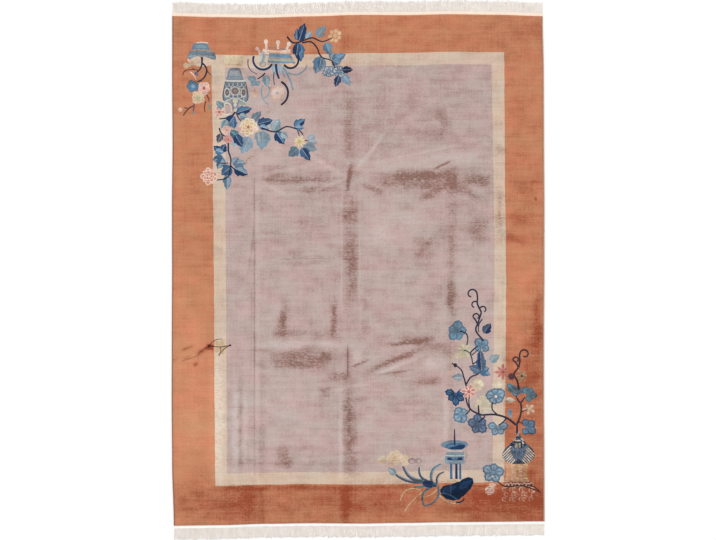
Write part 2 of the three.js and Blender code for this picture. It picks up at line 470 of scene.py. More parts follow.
for yarn, at, radius, squash in (("peach+straw", 16 + 24j, 2.8, 1), ("sage+straw", 12.5 + 23.5j, 1.7, 1),
                                 ("peach+blush", 22 + 68j, 2.3, 1), ("sage+bark", -7 + 64.5j, 1.6, 2.2),
                                 ("violet+tan", 9 + 71j, 1.7, 1)):
    blob(jar, yarn, at, radius, squash)
flower(jar, "blue", 9 + 44.5j, 6.2, 6, edge="slate", heart="sky", eye=0.34)
flower(jar, "rose+blush", -2 + 46j, 6.2, 5, edge="blush", heart="brick", turn=20, eye=0.28)
flower(jar, "straw+peach", 4 + 55.5j, 6.6, 7, edge="peach+pale", heart="sage", eye=0.36)


# The lines where the rug was folded, a knot or two wide: the pile has parted there, and the parting is drawn
# in a darker crease yarn as painted shade. Over the cream band a fluid has dried in brown, branching cracks.
folds = Chart("pile_field", 0j, UPRIGHT)
twigs(folds, "crease+rosegrey+rosegrey", (0.8, -104 + 92j, -103.8 - 205j, 0.002),
      (0.8, -106.5 - 20j, -106.8 - 110j, 0), (0.8, -78 + 11j, -24 + 11j, 0.01))
stem(folds, "crease+rosegrey", 1.1, 0.8, -10 - 75j, -10.6 - 92j, -9.8 - 106j)
twig(folds, "crease+rosegrey", 1.0, -16 + 10.5j, 1 + 10.8j)
stain = Chart("pile_band", -149.2 - 76.5j, UPRIGHT)
blob(stain, "straw+tan", 12 - 1j, 7, 1.2, 0, 5, 0.5)
stem(stain, "soil+terracotta", 0.9, 0.7, 0j, -8 - 5j, -12 - 10j, -27 - 15j)
stem(stain, "soil", 0.9, 0.8, 0j, 11 - 1j, 21 + 0.5j)
twigs(stain, "soil", (0.8, 0j, 13 + 7j, 0.15), (0.9, 21 + 0.5j, 10 - 10j, -0.1),
      (0.7, 11 - 1j, 9 - 9j, 0.2))
twig(stain, "brick+terracotta", 0.8, -11 - 10j, -12 - 19j, 0.1)
blob(stain, "soil", 0j, 1.5)
blob(stain, "soil", 21 + 0.5j, 1.4, 0.8)


# The tall vase on its straw stand, head down like the jar. Interlaced arcs of pale lines cover its
# belly, and its sprays of leaves and peonies spread over band and field.
VASE_ORIGIN = -123.2 + 215.5j
vase = Chart("pile_tall_vase", VASE_ORIGIN, HUNG)
pot(vase, "straw+cream", [(1, -7.5, 10.5), (11, -7.5, 11)])
twig(vase, "gold+cream", 1.5, 11.5 + 11.4j, -8 + 11.4j, 0.04)
twigs(vase, "gold+cream", *[(0.7, 8 - 4 * i + 4j, 9.5 - 4 * i + 8.5j, 0) for i in range(4)])
twigs(vase, "straw+sage", (1.4, -7 + 2j, -7 + 8.5j, 0), (1.0, 11.5 + 4.5j, 11.5 + 9j, 0))
PEDESTAL_PROFILE = ((14.4, 4.8), (17, 6.4), (22, 7.4), (26.4, 9.4))
round_pot(vase, "slate+grey", PEDESTAL_PROFILE, 0.3, -0.6)
pot(vase, "grey+mist", [(16, -4.5, 5), (22, -6, 6.5)])
twigs(vase, "pale+grey", *[(0.9, 2.5 * i - 3.6 + 17j, 2.3 * i - 2.6 + 20j, 0) for i in range(4)])
pot(vase, "slate+mist", [(22.5, -6.5, 7), (25, -7.5, 8)])
pot(vase, "pale+mist", [(25.5, -9.5, 9.5), (28, -11, 10.5)], 0.9)
VASE_PROFILE = ((27.5, 10.2), (31, 11.2), (38, 12.4), (42, 13), (46, 12.4), (48.5, 9.6))


def half_width(profile, height):
    """Half the width of a pot at a height, from its profile of (height, half width)."""
    for (low, narrow), (high, wide) in zip(profile, profile[1:]):
        if low <= height <= high:
            return narrow + (wide - narrow) * (height - low) / (high - low)
    return 0.0


pot(vase, "slate+ink", [(height, -half - 0.6, half - 0.2) for height, half in VASE_PROFILE], 0.8)
pot(vase, "slate+grey", [(height, -half + 0.4, half - 1.2) for height, half in VASE_PROFILE], 0.4)
SCALE_PITCH = 4.3
for row in range(6):
    scale_height = 30.4 + 2.9 * row
    for column in range(-3, 4):
        middle = complex((column + 0.5 * (row % 2)) * SCALE_PITCH - 0.3, scale_height)
        if abs(middle.real + 0.3) > half_width(VASE_PROFILE, scale_height) - 2.4:
            continue
        for size, yarn in ((2.1, "mist+pale" if (row + column) % 2 else "mist"), (1.1, "slate+bark")):
            arch = [middle + cmath.rect(size, math.radians(turn)) for turn in (-30, 30, 90, 150, 210)]
            stem(vase, yarn, 0.6, 0.6, *arch, parts=2)
for at, size, tall in ((37j, 4.4, 0.95), (8 + 38.5j, 2.5, 1.7), (-8.5 + 38.5j, 2.5, 1.7)):
    blob(vase, "slate+tan", at, size, tall)
    ring(vase, "pale+mist", at, size, 0.8, tall)
    ring(vase, "bark+slate", at, size * 0.55, 0.8, tall)
for side in (-1, 1):
    leaf(vase, "slate+sage", None, side * 3 + 48j, side * 12 + 50j, 3.6, 0)
pot(vase, "violet+rosegrey", [(45, -4, 4.5), (49, -4.6, 4.8), (54, -3.8, 4), (57, -2.2, 2.4)])
twig(vase, "pale+sky", 1.4, 12 + 49j, -11 + 49j, 0.2)
for side in (-1, 1):
    twig(vase, "violet", 1.2, side * 4 + 46j, side * 2 + 56j, side * 0.06)
for yarn, at, radius, tall in (("sage+straw", 46.8j, 2.6, 0.9), ("pale+sage", 51j, 1.4, 1.4),
                               ("straw+sage", -0.8 + 56.4j, 2.4, 0.8)):
    blob(vase, yarn, at, radius, tall)

spray = Chart("pile_vase_sprays", VASE_ORIGIN, HUNG)
ring(spray, "pale", 8 + 55j, 4.4, 1.0, 1.4)
flower(spray, "rose", 16 + 58j, 6.2, 6, edge="blush", heart="brick", form="pointed")
twigs(spray, "ink", (1.8, 58j, 7 + 64j, 0.08), (1.5, 7 + 64j, 16 + 65j, 0), (1.3, -1 + 58j, -8 + 69j, -0.1),
      (1.1, -5 + 65j, -10 + 65j, 0), (1.3, 4 + 76j, 1 + 84j, 0), (1.5, 16 + 74j, 8 + 83j, -0.18),
      (1.4, 5 + 111j, -2 + 117j, -0.06), (1.4, -62 + 76j, -68 + 83j, 0.1), (1.2, -62 + 76j, -64 + 83j, 0))
leaves(
    spray,
    ("teal+grey", "mist+teal", 12 + 54j, 19 + 47j, 6),
    ("navy", "blue", -1 + 59j, -17 + 54j, 8),
    ("sky+blue", "mist", -4 + 61j, -13 + 63j, 5),
    ("navy", "blue", 1 + 62j, 10 + 74j, 9),
    ("blue", "indigo", 2 + 66j, 1 + 75j, 6),
    ("sky+teal", "mist", 8 + 66j, 14 + 76j, 6),
    ("violet+slate", "teal+grey", -17 + 67j, -26 + 57j, 7),
    ("navy", "indigo", -22 + 70j, -38 + 66j, 8),
    ("blue", "sky", -24 + 72j, -34 + 75j, 5),
    ("mist+teal", "mist", -38 + 77j, -44 + 65j, 9),
    ("navy", "blue", -59 + 74j, -70 + 66j, 8),
    ("blue", "sky", -60 + 74j, -69 + 75j, 5),
    ("navy", "blue", -41 + 78j, -49 + 91j, 9),
    ("mist", "grey", -46 + 79j, -53 + 85j, 6),
    ("mist+blue", "teal+mist", -28 + 77j, -26 + 96j, 13),
    ("slate+mist", "mist", -22 + 78j, -24 + 90j, 6),
    ("mist+blue", "sky+mist", -14 + 83j, -6 + 100j, 12),
    ("sky+mist", "mist", 3 + 85j, 93j, 6),
    ("teal+navy", "teal", 5 + 77j, -6 + 86j, 7),
    ("navy", "indigo", 81j, -7 + 93j, 8),
    ("plum+navy", "slate", 14 + 80j, 18 + 89j, 6),
    ("navy", "indigo", 13 + 99j, 22 + 92j, 7),
    ("navy", "indigo", 14 + 98j, 10 + 90j, 7),
    ("blue", "sky", 20 + 96j, 11 + 99j, 5),
    ("blue+indigo", "sky", 12 + 104j, 23 + 106j, 8),
    ("blue+indigo", "sky", 12 + 104j, 18 + 115j, 8),
    ("sky+indigo", "mist+sky", 3 + 109j, -11 + 109j, 7),
    ("sky+indigo", "mist+sky", 3 + 109j, -3 + 103j, 5),
    ("navy", "sky", 1 + 114j, -13 + 121j, 9),
    ("blue+navy", "indigo", 4 + 113j, 14 + 121j, 10),
    ("blue+slate", "sky", 8 + 121j, 8 + 136j, 7),
    ("mist+violet", "mist", -73 + 87j, -80 + 82j, 6),
    ("mist+violet", "mist", -73 + 88j, -82 + 90j, 6),
    ("slate+mist", "slate+sky", -68 + 93j, -82 + 97j, 8),
    ("navy+blue", "navy", -66 + 95j, -75 + 108j, 8),
    ("slate+teal", "blue+slate", -63 + 95j, -53 + 103j, 9),
)
peony(spray, -13 + 73j, 9.8, "straw+pale", "peach+gold", "brick", squash=0.92)
blob(spray, "rose+rosegrey", -4 + 75.5j, 2.0, 1.4)
blob(spray, "blush", -19.5 + 75j, 2.6)
flower(spray, "pale+rose", 9 + 76j, 4.6, 5, edge="blush", heart="rose")
flower(spray, "rose", 7 + 85.5j, 4.4, 5, edge="rose+rosegrey", heart="brick")
stem(spray, "ink", 1.6, 1.3, -26 + 74j, -40 + 78j, -51 + 73j, -62 + 76j)
stem(spray, "ink", 1.7, 1.3, 7 + 89j, 7 + 97j, 4.5 + 105j, 5 + 113j)
stem(spray, "ink", 1.5, 1.1, 5 + 112j, 6 + 121j, 11 + 125j, 19 + 126j)
twig(spray, "bark", 1.2, 7 + 109j, 18 + 108j, 0.08)
twig(spray, "tan", 1.0, -10 + 111j, -20 + 102j, 0.2)
twig(spray, "plum", 1.5, -69 + 87j, -73 + 88j)
peony(spray, 26 + 122.5j, 8.4, "blush", "terracotta+rose", "blush")
flower(spray, "straw", -64 + 88.5j, 7.4, 9, edge="gold+pale", heart="gold", form="pointed", eye=0.28)


# The low planter on its stand, between vase and branch. Banded hoops go round its dish, and arching
# leaves and hooked tendrils grow out of it over the band and the field.
planter = Chart("pile_planter", -82.2 + 225.5j, HUNG)
twig(planter, "slate+tan", 1.2, 10 + 3.5j, -12 + 6.5j, 0.04)
twig(planter, "pale+blush", 4.6, 13.5 + 6.5j, -14.5 + 8j, -0.06, 1.0)
twig(planter, "peach", 1.4, 9 + 8j, -15 + 10.5j, 0, 1.0)
for top, foot in ((10 - 2.5j, 9.5 + 5j), (-2 - 1.5j, -2 + 5j), (-13 + 0.5j, -10.5 + 6j)):
    twig(planter, "blush", 2.0, top, foot, 0, 1.2)
    blob(planter, "pale+blush", top, 2.1, 1.2)
twig(planter, "blush", 2.4, 19 + 4j, 17 + 15j, 0.14)
blob(planter, "pale+blush", 19 + 4.5j, 1.9)
leaf(planter, "mist+pale", "grey+mist", 12.5 + 7j, 15.5 + 22j, 5.5, 0)
for i, yarn in enumerate(("slate+mist", "sky+blue", "tan+mist", "mist+sage", "sky+blue", "peach")):
    twig(planter, yarn, 2.1, complex(7 + 0.4 * i, 9.8 + 1.95 * i), complex(-15 - i, 11.8 + 1.95 * i), 0, 1.0)
ring(planter, "grey", 13.5 + 20j, 3.0, 1.0, 0.8)
twig(planter, "mist+sage", 1.3, 10 + 10j, 16 + 20j, 0.1)
blob(planter, "blush+gold", -14.5 + 21.5j, 3.4, 0.6)
curl(planter, "grey+mist", 1.9, -7 + 23j, 110, 13, 0.41, 0.1)
curl(planter, "grey+mist", 1.7, 13 + 41j, 62, 15, 0.24, 0)
curl(planter, "grey+mist", 1.5, 8 + 42j, 124, 8, -0.34, 0)
curl(planter, "navy+ink", 2.4, 4 + 20j, 62, 10.4, -0.49, 0.1)
curl(planter, "ink", 2.3, -8 + 21j, 122, 8, 0.5, 0.1)
curl(planter, "ink", 2.3, -5 + 38j, 152, 13, -0.35, 0)
twig(planter, "plum", 1.2, 28 + 15j, 19 + 30j, -0.22)
twig(planter, "ink", 1.6, 11 + 29j, 19 + 35j, 0.06)
twigs(planter, "mist+blue", (2.2, -7 + 24j, -17 + 47j, 0.05), (1.6, -5 + 25j, -9 + 34j, 0))
leaves(
    planter,
    ("mist+sky", "mist", 2.5 + 20j, 1 + 31j, 4.5),
    ("sky+mist", "mist", -3.5 + 20j, -5 + 31j, 4),
    ("sky+teal", "mist", 10.5 + 31j, 9 + 43j, 6.6),
    ("slate+sky", "mist+teal", 20 + 37j, 29 + 33j, 6),
    ("slate+sky", "mist+teal", 20 + 37j, 25 + 42j, 5),
    ("slate+sky", "mist+teal", 20 + 37j, 17 + 42j, 5),
)
twig(planter, "navy", 2.7, 20j, -3 + 35j, -0.06)
twig(planter, "slate", 1.5, 2 + 28j, 1.5 + 41j, -0.06)
flower(planter, "blush+rosegrey", -1 + 49j, 7.6, 7, edge="peach+rosegrey", heart="mist", turn=10)
blob(planter, "peach+rosegrey", 21 + 49.5j, 2.8, 1.7)


# The hanging branch, from the upper border down into the field. Blue and navy leaves and pale
# blossoms grow from two dark twigs.
branch = Chart("pile_hanging_branch", -58.2 + 229.5j, HUNG)
leaves(
    branch,
    ("navy", "indigo", 1 + 1j, -5 - 17j, 9),
    ("navy", "blue", 3, 3 - 12j, 5),
    ("mist+blue", "mist", -6 - 1j, -12 - 9j, 5),
    ("navy", "blue", 3 + 3j, -1 + 22j, 10),
    ("navy", "indigo", 2 + 4j, 4 + 17j, 6),
    ("mist+slate", "blue+mist", -17 - 3j, -26 - 14j, 8),
    ("blue+slate", "sky+blue", -26 + 3j, -30 + 16j, 8),
    ("blue+slate", "sky+blue", -32 + 22j, -46 + 15j, 8),
    ("blue+slate", "sky+blue", -32 + 21j, -40 + 25j, 8),
    ("blue+slate", "sky", -31 + 20j, -34 + 13j, 6),
    ("slate+blue", "mist+blue", -22 + 17j, -15 + 34j, 11),
    ("navy+blue", "slate", -21 + 19j, -19 + 30j, 5),
)
for i in range(7):
    lobe = -35 - 3.5j + cmath.rect(5.0, math.tau * i / 7)
    blob(branch, "peach", lobe, 2.1)
    blob(branch, "straw+peach", lobe, 1.2)
blob(branch, "gold+peach", -35 - 3.5j, 2.2)
blossom(branch, "slate+blue", "sky+pale", -28.5 + 32j, 6.6, 5, 20)
blossom(branch, "slate+blue", "sky+pale", -39 + 32.5j, 6.8, 5, 50)
stem(branch, "ink", 1.8, 1.6, 13 - 4j, 8 + 2j, 2 + 2.5j, -5)
stem(branch, "ink", 1.6, 1.1, -5, -13 - 2j, -22 + 2j, -32 - 1j)
stem(branch, "ink", 1.7, 1.4, -2 + 3j, -11 + 2j, -17 + 8j, -19 + 14j)
stem(branch, "ink", 1.5, 1.1, -19 + 14j, -23 + 18.5j, -31 + 21j, -35 + 29j)
leaves(
    branch,
    ("ink+navy", "navy", -42 + 31j, -53 + 31j, 6),
    ("navy", "indigo", -39 + 37j, -35 + 48j, 6),
    ("mist+blue", "sky", -43 + 36j, -50 + 47j, 7),
)


# The ribbed vase on its scrolled stand in the lower right corner, upright like the rest of that
# corner. Fine ribs slant down from a mottled blue front, which has a dark arched niche.
ribbed = Chart("pile_ribbed_vase", 159.8 - 234.5j, UPRIGHT)
pot(ribbed, "plum+terracotta", [(15.5, -12.5, 15.5), (22.5, -13, 14.5)])
for i in range(8):
    at = complex(-11 + 3.5 * i, 18.6 + 0.6 * (i % 2))
    ring(ribbed, "blush" if i % 3 else "pale", at, 1.8, 0.9)
    blob(ribbed, "soil", at, 0.6)
for row, count in enumerate((7, 6, 6)):
    for i in range(count):
        at = complex(-12.5 + 4.9 * i + 2.2 * (row % 2), 12.6 - 4.8 * row)
        curl(ribbed, "peach+blush", 1.1, at, 200 - 60 * (i % 2), 2.5, -0.95, 0.7)
blob(ribbed, "brick+terracotta", 17 + 8.5j, 2.4, 0.9)
twig(ribbed, "soil", 1.3, 11 + 18.5j, 23 + 10j, 0.12)
STAND_PROFILE = ((22.4, 12.6), (27, 11), (32, 10), (37, 10.8), (42.6, 12.6))
round_pot(ribbed, "peach+tan", STAND_PROFILE, -1.2)
pot(ribbed, "peach+terracotta", [(23, -13, -8), (32, -10.6, -6), (42, -13, -8)])
pot(ribbed, "peach", [(24, -7, 4), (32, -6, 4), (41, -7, 4.5)])
pot(ribbed, "gold", [(23, 9, 11), (32, 7, 8.6), (42, 9, 11)])
RIB_PROFILE = (
    (40.6, 8), (43.2, 12.6), (46.6, 15.8), (50.6, 16.4), (55.6, 13.6), (61, 7.4), (66, 3.6), (70, 0.8),
)
RIBBED_MIDDLE = 0.8
round_pot(ribbed, "slate+ink", RIB_PROFILE, RIBBED_MIDDLE, -0.6)
RIB_PITCH = 2.9
for i in range(8):
    # Each rib runs down and outwards at 45 degrees until it meets the edge of the body.
    inner = complex(2.4, 66 - RIB_PITCH * i)
    reach = 0.0
    while inner.real + reach < half_width(RIB_PROFILE, inner.imag - reach) - 0.6:
        reach += 0.3
    for side in (-1, 1):
        outer = complex(RIBBED_MIDDLE + side * (inner.real + reach), inner.imag - reach)
        start = complex(RIBBED_MIDDLE + side * inner.real, inner.imag)
        twig(ribbed, "pale" if i % 3 else "pale+mist", 1.45, start, outer)
pot(ribbed, "slate+violet", [(43, -1.5, 3), (47, -5, 6.5), (54, -7.5, 9), (58, -6, 7.5)])
pot(ribbed, "blue+slate", [(46, -2.5, 4), (50, -5, 6.5), (54, -6, 7)])
for i in range(9):
    at = complex(-5 + 1.5 * i, 55.6 - 2.6 * (i % 3))
    twig(ribbed, ("sky", "navy", "rose+slate")[i % 3], 0.8, at, at + 0.9 - 1.9j)
for yarn, at, radius in (("navy", -6 + 59.5j, 1.9), ("navy", 7 + 59j, 1.7), ("teal", 9 + 57.5j, 1.7)):
    blob(ribbed, yarn, at, radius)
ARCH_PROFILE = ((56, 4.6), (60.4, 4.6), (64, 3.4), (66.4, 1.6), (67.6, 0.4))
round_pot(ribbed, "ink", ARCH_PROFILE, 0.2)
pot(ribbed, "slate", [(62, -3, 3), (64.5, -2, 2.4), (66, -1, 1.2)])
pot(ribbed, "sage+grey", [(56.5, -3.2, 3), (61, -3, 3)])
twig(ribbed, "pale", 0.8, -3 + 64j, 3 + 64j, -0.1, 1)
twig(ribbed, "bark", 1.0, 0.4 + 56.5j, 0.2 + 62.5j)
ring(ribbed, "ink", 0.8 + 42.8j, 1.6, 1.2)
twig(ribbed, "pale+violet", 2.6, 0.2 + 68j, 0.6 + 73j)
twig(ribbed, "slate", 1.2, -1.2 + 70j, -0.8 + 74j)


# Flowering boughs that rise from the ribbed vase over border, band and field, with many kinds of
# blossom in blues, pinks and greens.
BOUGHS_ORIGIN = 157.8 - 155.5j
boughs = Chart("pile_flowering_boughs", BOUGHS_ORIGIN, UPRIGHT)
flower(boughs, "straw+rosegrey", -32 + 21j, 10, 8, edge="sage+rosegrey", heart="sage", turn=14)
flower(boughs, "straw+pale", -38 + 40j, 6.8, 6, edge="straw+rosegrey")
blob(boughs, "straw+pale", -19 + 40.5j, 4.8, 0.8)
# Each blossom: its dark and light yarns, place, radius, petals, turn and spread.
for row in (
    ("navy", "indigo+blue", -60 + 31j, 11, 5, -90, 210),
    ("slate+blue", "mist+sky", -55 + 11j, 8.5, 4, 80, 300),
    ("navy+slate", "blue+violet", -38 + 1j, 10.5, 5, 25, 280),
    ("slate+blue", "sky+mist", -18 - 2j, 10, 4, -90, 200),
    ("slate+blue", "sky+mist", -20 + 29j, 9.5, 5, 100, 360),
    ("slate+blue", "sky+violet", 4 + 32j, 7.5, 3, 110, 150),
    ("slate+teal", "teal+sky", 12 + 31j, 9, 4, 20, 200),
    ("indigo+slate", "blue+sky", 11 - 2j, 10, 4, 0, 220),
):
    blossom(boughs, *row)
blob(boughs, "pale+blush", -20 + 28.5j, 1.4)
flower(boughs, "brick+rose", -47 + 33.5j, 8.6, 7, edge="blush", heart="brick", form="pointed", turn=20)
leaf(boughs, "teal+blue", "teal", -1 + 33j, -9 + 42j, 7)
leaf(boughs, "sage+pale", "pale", -10.5 + 25.5j, 24.5j, 4.6, 0)
blob(boughs, "mist+blue", -6 + 12j, 2.3, 2.0)
flower(boughs, "blush", 13 + 16j, 7.2, 5, edge="peach+terracotta", heart="straw", form="pointed", turn=45)
twigs(boughs, "ink", (2.2, 1 - 8j, 1 + 1j, 0), (1.5, -46 + 17j, -46.5 + 28j, 0.06),
      (1.4, -46 + 16j, -51 + 11j, 0.15), (1.6, -31 + 9j, -38 + 3j, 0.08),
      (1.5, -10 + 6.5j, -17.5, 0.08), (1.5, -19 + 11j, -23 + 23j, 0.22),
      (1.5, 4.5 + 22j, 29j, 0.04), (1.5, 4.5 + 22j, 9 + 28j, -0.04), (1.8, -37 + 12j, -37.5 + 20j, 0))
stem(boughs, "ink", 2.2, 1.8, 0j, -9 + 7j, -21 + 10.5j, -34 + 10j)
stem(boughs, "ink", 1.8, 1.4, -34 + 10j, -43 + 14j, -48 + 20j, -50 + 28j)
stem(boughs, "ink+bark", 2.1, 1.6, 1 + 1j, 4 + 8j, 5.5 + 16j, 4.5 + 23j)
twigs(boughs, "bark", (1.3, 5.5 + 13j, 11 + 15.5j, 0), (1.3, 3 + 3j, 8 + 1j, 0))
stem(boughs, "ink", 1.6, 1.2, -49.5 + 39j, -52 + 48j, -55 + 56j, -64 + 62j)
stem(boughs, "ink", 1.6, 1.2, -49.5 + 41j, -45 + 48j, -38 + 51j, -34.5 + 55j)
blob(boughs, "ink", -60.5 + 60j, 1.9, 1.1)


# Two tendrils that climb above the boughs, one along the field's edge and one up the border, with
# their blossoms and long leaves.
tendrils = Chart("pile_tendrils", BOUGHS_ORIGIN, UPRIGHT)
leaves(
    tendrils,
    ("mist+slate", "mist", -53 + 48j, -64 + 48j, 6.5),
    ("indigo+slate", "blue+slate", -35 + 54j, -47 + 59j, 8),
    ("indigo+blue", "sky+slate", -36 + 54j, -25 + 50j, 6),
    ("indigo+blue", "sky+slate", -36 + 54j, -26 + 57j, 6),
    ("indigo+slate", "navy", -34 + 53j, -36 + 77j, 8),
    ("teal+mist", "mist", -26 + 64j, -16 + 70j, 7),
    ("navy", "navy+slate", -32 + 92j, -25 + 102j, 7.5),
)
for i in range(6):
    twig(tendrils, "slate+ink", 0.6, complex(-35.4, 57.6 + 3 * i), complex(-32.6, 59.2 + 3 * i))
flower(tendrils, "straw+sage", -51.5 + 74.5j, 9, 7, edge="sage+rosegrey", heart="sage", form="pointed")
blob(tendrils, "straw+rosegrey", -57 + 69j, 4.2, 0.7)
blossom(tendrils, "blue+slate", "sky", -34 + 79j, 9, 4, 90, 240)
blossom(tendrils, "slate+blue", "teal+sky", -59 + 94j, 10.5, 5, 80, 300)
flower(tendrils, "brick+rose", -13 + 53j, 8.6, 8, edge="rose+terracotta", heart="brick", form="pointed")
flower(tendrils, "gold+tan", 6 + 49j, 6.6, 6, edge="tan+sage", heart="bark", form="pointed")
blob(tendrils, "plum+bark", -4.5 + 48.5j, 3.2, 1.1)
stem(tendrils, "ink", 1.5, 1.1, -56 + 94j, -50 + 92j, -48 + 87j, -49 + 80j)
stem(tendrils, "ink", 1.5, 1.1, -38 + 79j, -45 + 73j, -44 + 67j, -43 + 61j)
twigs(tendrils, "ink", (1.2, -52 + 75j, -45 + 71j, 0.1), (1.3, -43 + 61j, -35 + 66j, 0),
      (1.2, -44 + 70j, -37 + 76j, 0))
for i in range(3):
    blob(tendrils, "gold+rosegrey", complex(-66 + 0.6 * i, 54 + 6.5 * i), 2.8, 0.4, 90)
stem(tendrils, "ink", 1.7, 1.6, -32 + 84j, -40 + 94.5j, -37.5 + 103j, -34.5 + 113j)
stem(tendrils, "ink", 1.7, 1.6, -34.5 + 113j, -38.5 + 121j, -38.5 + 127j, -39 + 132j)
curl(tendrils, "ink", 1.7, -39 + 132j, 105, 5.2, 0.72)
twig(tendrils, "ink", 1.6, -37.8 + 99j, -42.8 + 108j, -0.08, 1)
curl(tendrils, "ink", 1.6, -42.8 + 108j, 95, 3.4, -0.72, 0.4)
curl(tendrils, "ink", 1.6, -38.5 + 123j, 140, 3.6, 0.6, 0.3)
curl(tendrils, "ink", 1.6, -36 + 117j, 62, 3.4, -0.62, 0.3)
twig(tendrils, "ink", 1.3, -33.5 + 106j, -37 + 93j, -0.14)
stem(tendrils, "ink+bark", 1.9, 1.8, 3 + 35j, 1.5 + 44j, -2 + 51j, 3 + 58j)
stem(tendrils, "ink+bark", 1.8, 1.8, 3 + 58j, 4 + 64j, 3.6 + 69j, 4.4 + 73j)
curl(tendrils, "ink+bark", 1.8, 4.4 + 73j, 62, 4.6, -0.8)
twig(tendrils, "ink+bark", 1.7, 2.6 + 57j, -3 + 65j, -0.1, 1)
curl(tendrils, "ink+bark", 1.7, -3 + 65j, 92, 3.1, -0.72, 0.4)


# The stacked dishes on three columns over a dark blue rock, at the foot of the field. The dishes are
# stripes of blue with a pale rim between them, and the columns stand on a gold foot.
stack = Chart("pile_stacked_dishes", 96.8 - 228.5j, UPRIGHT)
blob(stack, "sky+slate", 53.4j, 14.2, 0.32)
pot(stack, "blue+indigo", [(48.6, -5.5, 5.5), (50.6, -10, 10), (53.6, -8, 10), (55, -3.5, 6)])
pot(stack, "blue", [(50.5, -7, 2), (53, -6.5, 2.5)])
pot(stack, "navy", [(48.3, -3, 7), (50, -6, 10), (53, 4.5, 10.5)])
twig(stack, "ink+navy", 2.0, 52.6j, 69j, 0, 0.5)
pot(stack, "pale+mist", [(46.4, -6, 7.4), (48, -6.4, 7.8)], -0.3)
pot(stack, "slate+mist", [(42.8, -9, 10), (46.2, -8, 9.4)], -0.5)
pot(stack, "blue+mist", [(43.2, -6, 7), (45.4, -5.4, 6.8)], -0.4)
pot(stack, "pale+rosegrey", [(42, -8.8, 9.6), (43, -8.8, 9.6)], -0.4)
pot(stack, "slate+sky", [(37.6, -9.8, 9.6), (42.2, -9.4, 9.4)], -0.6)
pot(stack, "navy", [(38, -7.4, 7.8), (40.8, -7.2, 7.6)], -0.5)
pot(stack, "blue", [(38.6, -3, 3.4), (41, -2.8, 3.2)], -0.4)
pot(stack, "sky+mist", [(34, -9.2, 10), (38, -9.8, 10.4)], -0.5)
pot(stack, "slate+sky", [(34.2, -5.4, 6.4), (35.8, -5.6, 6.6)], -0.4)
twig(stack, "sage+slate", 1.4, 10.5 + 40j, 10.5 + 46j, -0.3)
for left, right, yarn in ((-5.2, -2.2, "indigo+blue"), (0, 3, "ink+navy"), (4, 6.6, "blue+navy")):
    pot(stack, yarn, [(18.4, left, right), (34.2, left + 0.2, right - 0.2)])
    twig(stack, "sky+pale", 0.6, complex(left + 0.1, 19), complex(left + 0.3, 33.6))
pot(stack, "gold+pale", [(14.6, -7.6, 6.6), (18.6, -7.2, 6)], 0.4)
twig(stack, "straw+tan", 1.3, -15.5 + 2.5j, 5 - 5.5j, -0.12)
blob(stack, "deep", -3.5 + 5.4j, 11.8, 0.66, -14)
blob(stack, "deep", 3 + 8j, 11, 0.74, 20)
blob(stack, "deep", 9 + 11.5j, 12, 0.56, 42)
leaf(stack, "navy", None, -13 + 6j, 2 + 12j, 5, 0)
leaf(stack, "navy", None, 4 + 9j, 17 + 18j, 5, 0)
twig(stack, "indigo", 1.5, -4 + 12.4j, -4.5 + 3j)
twig(stack, "teal+navy", 1.2, -14.5 + 5j, 3 - 2.5j, 0.1)
twig(stack, "ink", 1.8, 1 - 4.5j, 9.5 - 0.5j, -0.15)


# The bundle of long curved leaves tied with a ribbon, lying over the lower edge of the field, with a
# golden peony beyond it.
bundle = Chart("pile_leaf_bundle", 73.8 - 215.5j, UPRIGHT)
peony(bundle, -36.5 + 28j, 8.8, "straw+cream", "peach+rosegrey", "gold", squash=0.8)
peony(bundle, -26 + 25.5j, 5.8, "straw+cream", "peach+rosegrey", "gold+pale")
leaf(bundle, "straw+rosegrey", "gold+rosegrey", -44.5 + 27j, -56 + 24j, 7)
leaf(bundle, "peach+rosegrey", None, -40 + 22j, -44.5 + 15.5j, 5)
for at, size in ((-20 + 24.5j, 4), (-13.5 + 24.5j, 3.6)):
    blob(bundle, "plum+rosegrey", at, size, 0.8)
    blob(bundle, "rosegrey", at + 0.6 - 0.6j, size * 0.6, 0.8)
twigs(bundle, "straw", (0.9, -12 - 4.5j, -32 - 15j, -0.28), (0.9, -9.5 - 7j, -28 - 26j, -0.06),
      (0.9, 5 - 4.5j, -12 - 12j, 0.12))
twigs(bundle, "teal+slate", (2.4, -1 - 2j, -8 - 21j, -0.27), (2.2, 6 - 1j, -8 - 21j, 0.26),
      (2.2, -6 - 1j, -18 - 2j, 0))
# Each blade: its pale side, its dark side, its width, where it starts and ends, and its bow.
for pale, dark, width, start, end, bow in (
    ("mist+grey", "slate+ink", 2.6, -8 + 3j, -41 + 15j, 0.13),
    ("violet+mist", "ink+slate", 3.2, -7 + 4j, -29 + 19j, 0.2),
    ("mist+pale", "slate+ink", 3.0, -5 + 4j, -12.5 + 18j, 0.2),
    ("mist+sky", "slate+blue", 2.2, 0 + 2j, 9 + 21j, 0.25),
    ("mist", "plum+ink", 2.0, 5 + 1j, 12 + 13j, 0.24),
):
    twig(bundle, pale, width * 1.4, start, end + 0.6 - 0.4j, bow - 0.03, 0.5)
    twig(bundle, dark, width, start, end, bow, 0.5)
leaf(bundle, "mist+teal", "mist", -36 + 10.5j, -44 + 18.5j, 5.4, 0)
blob(bundle, "navy", -3 + 1j, 6.8, 0.56, -10)
blob(bundle, "teal+navy", 2.5, 2.8, 0.9)
twig(bundle, "ink", 1.6, -8 + 3j, 4 - 1.5j, 0.04)


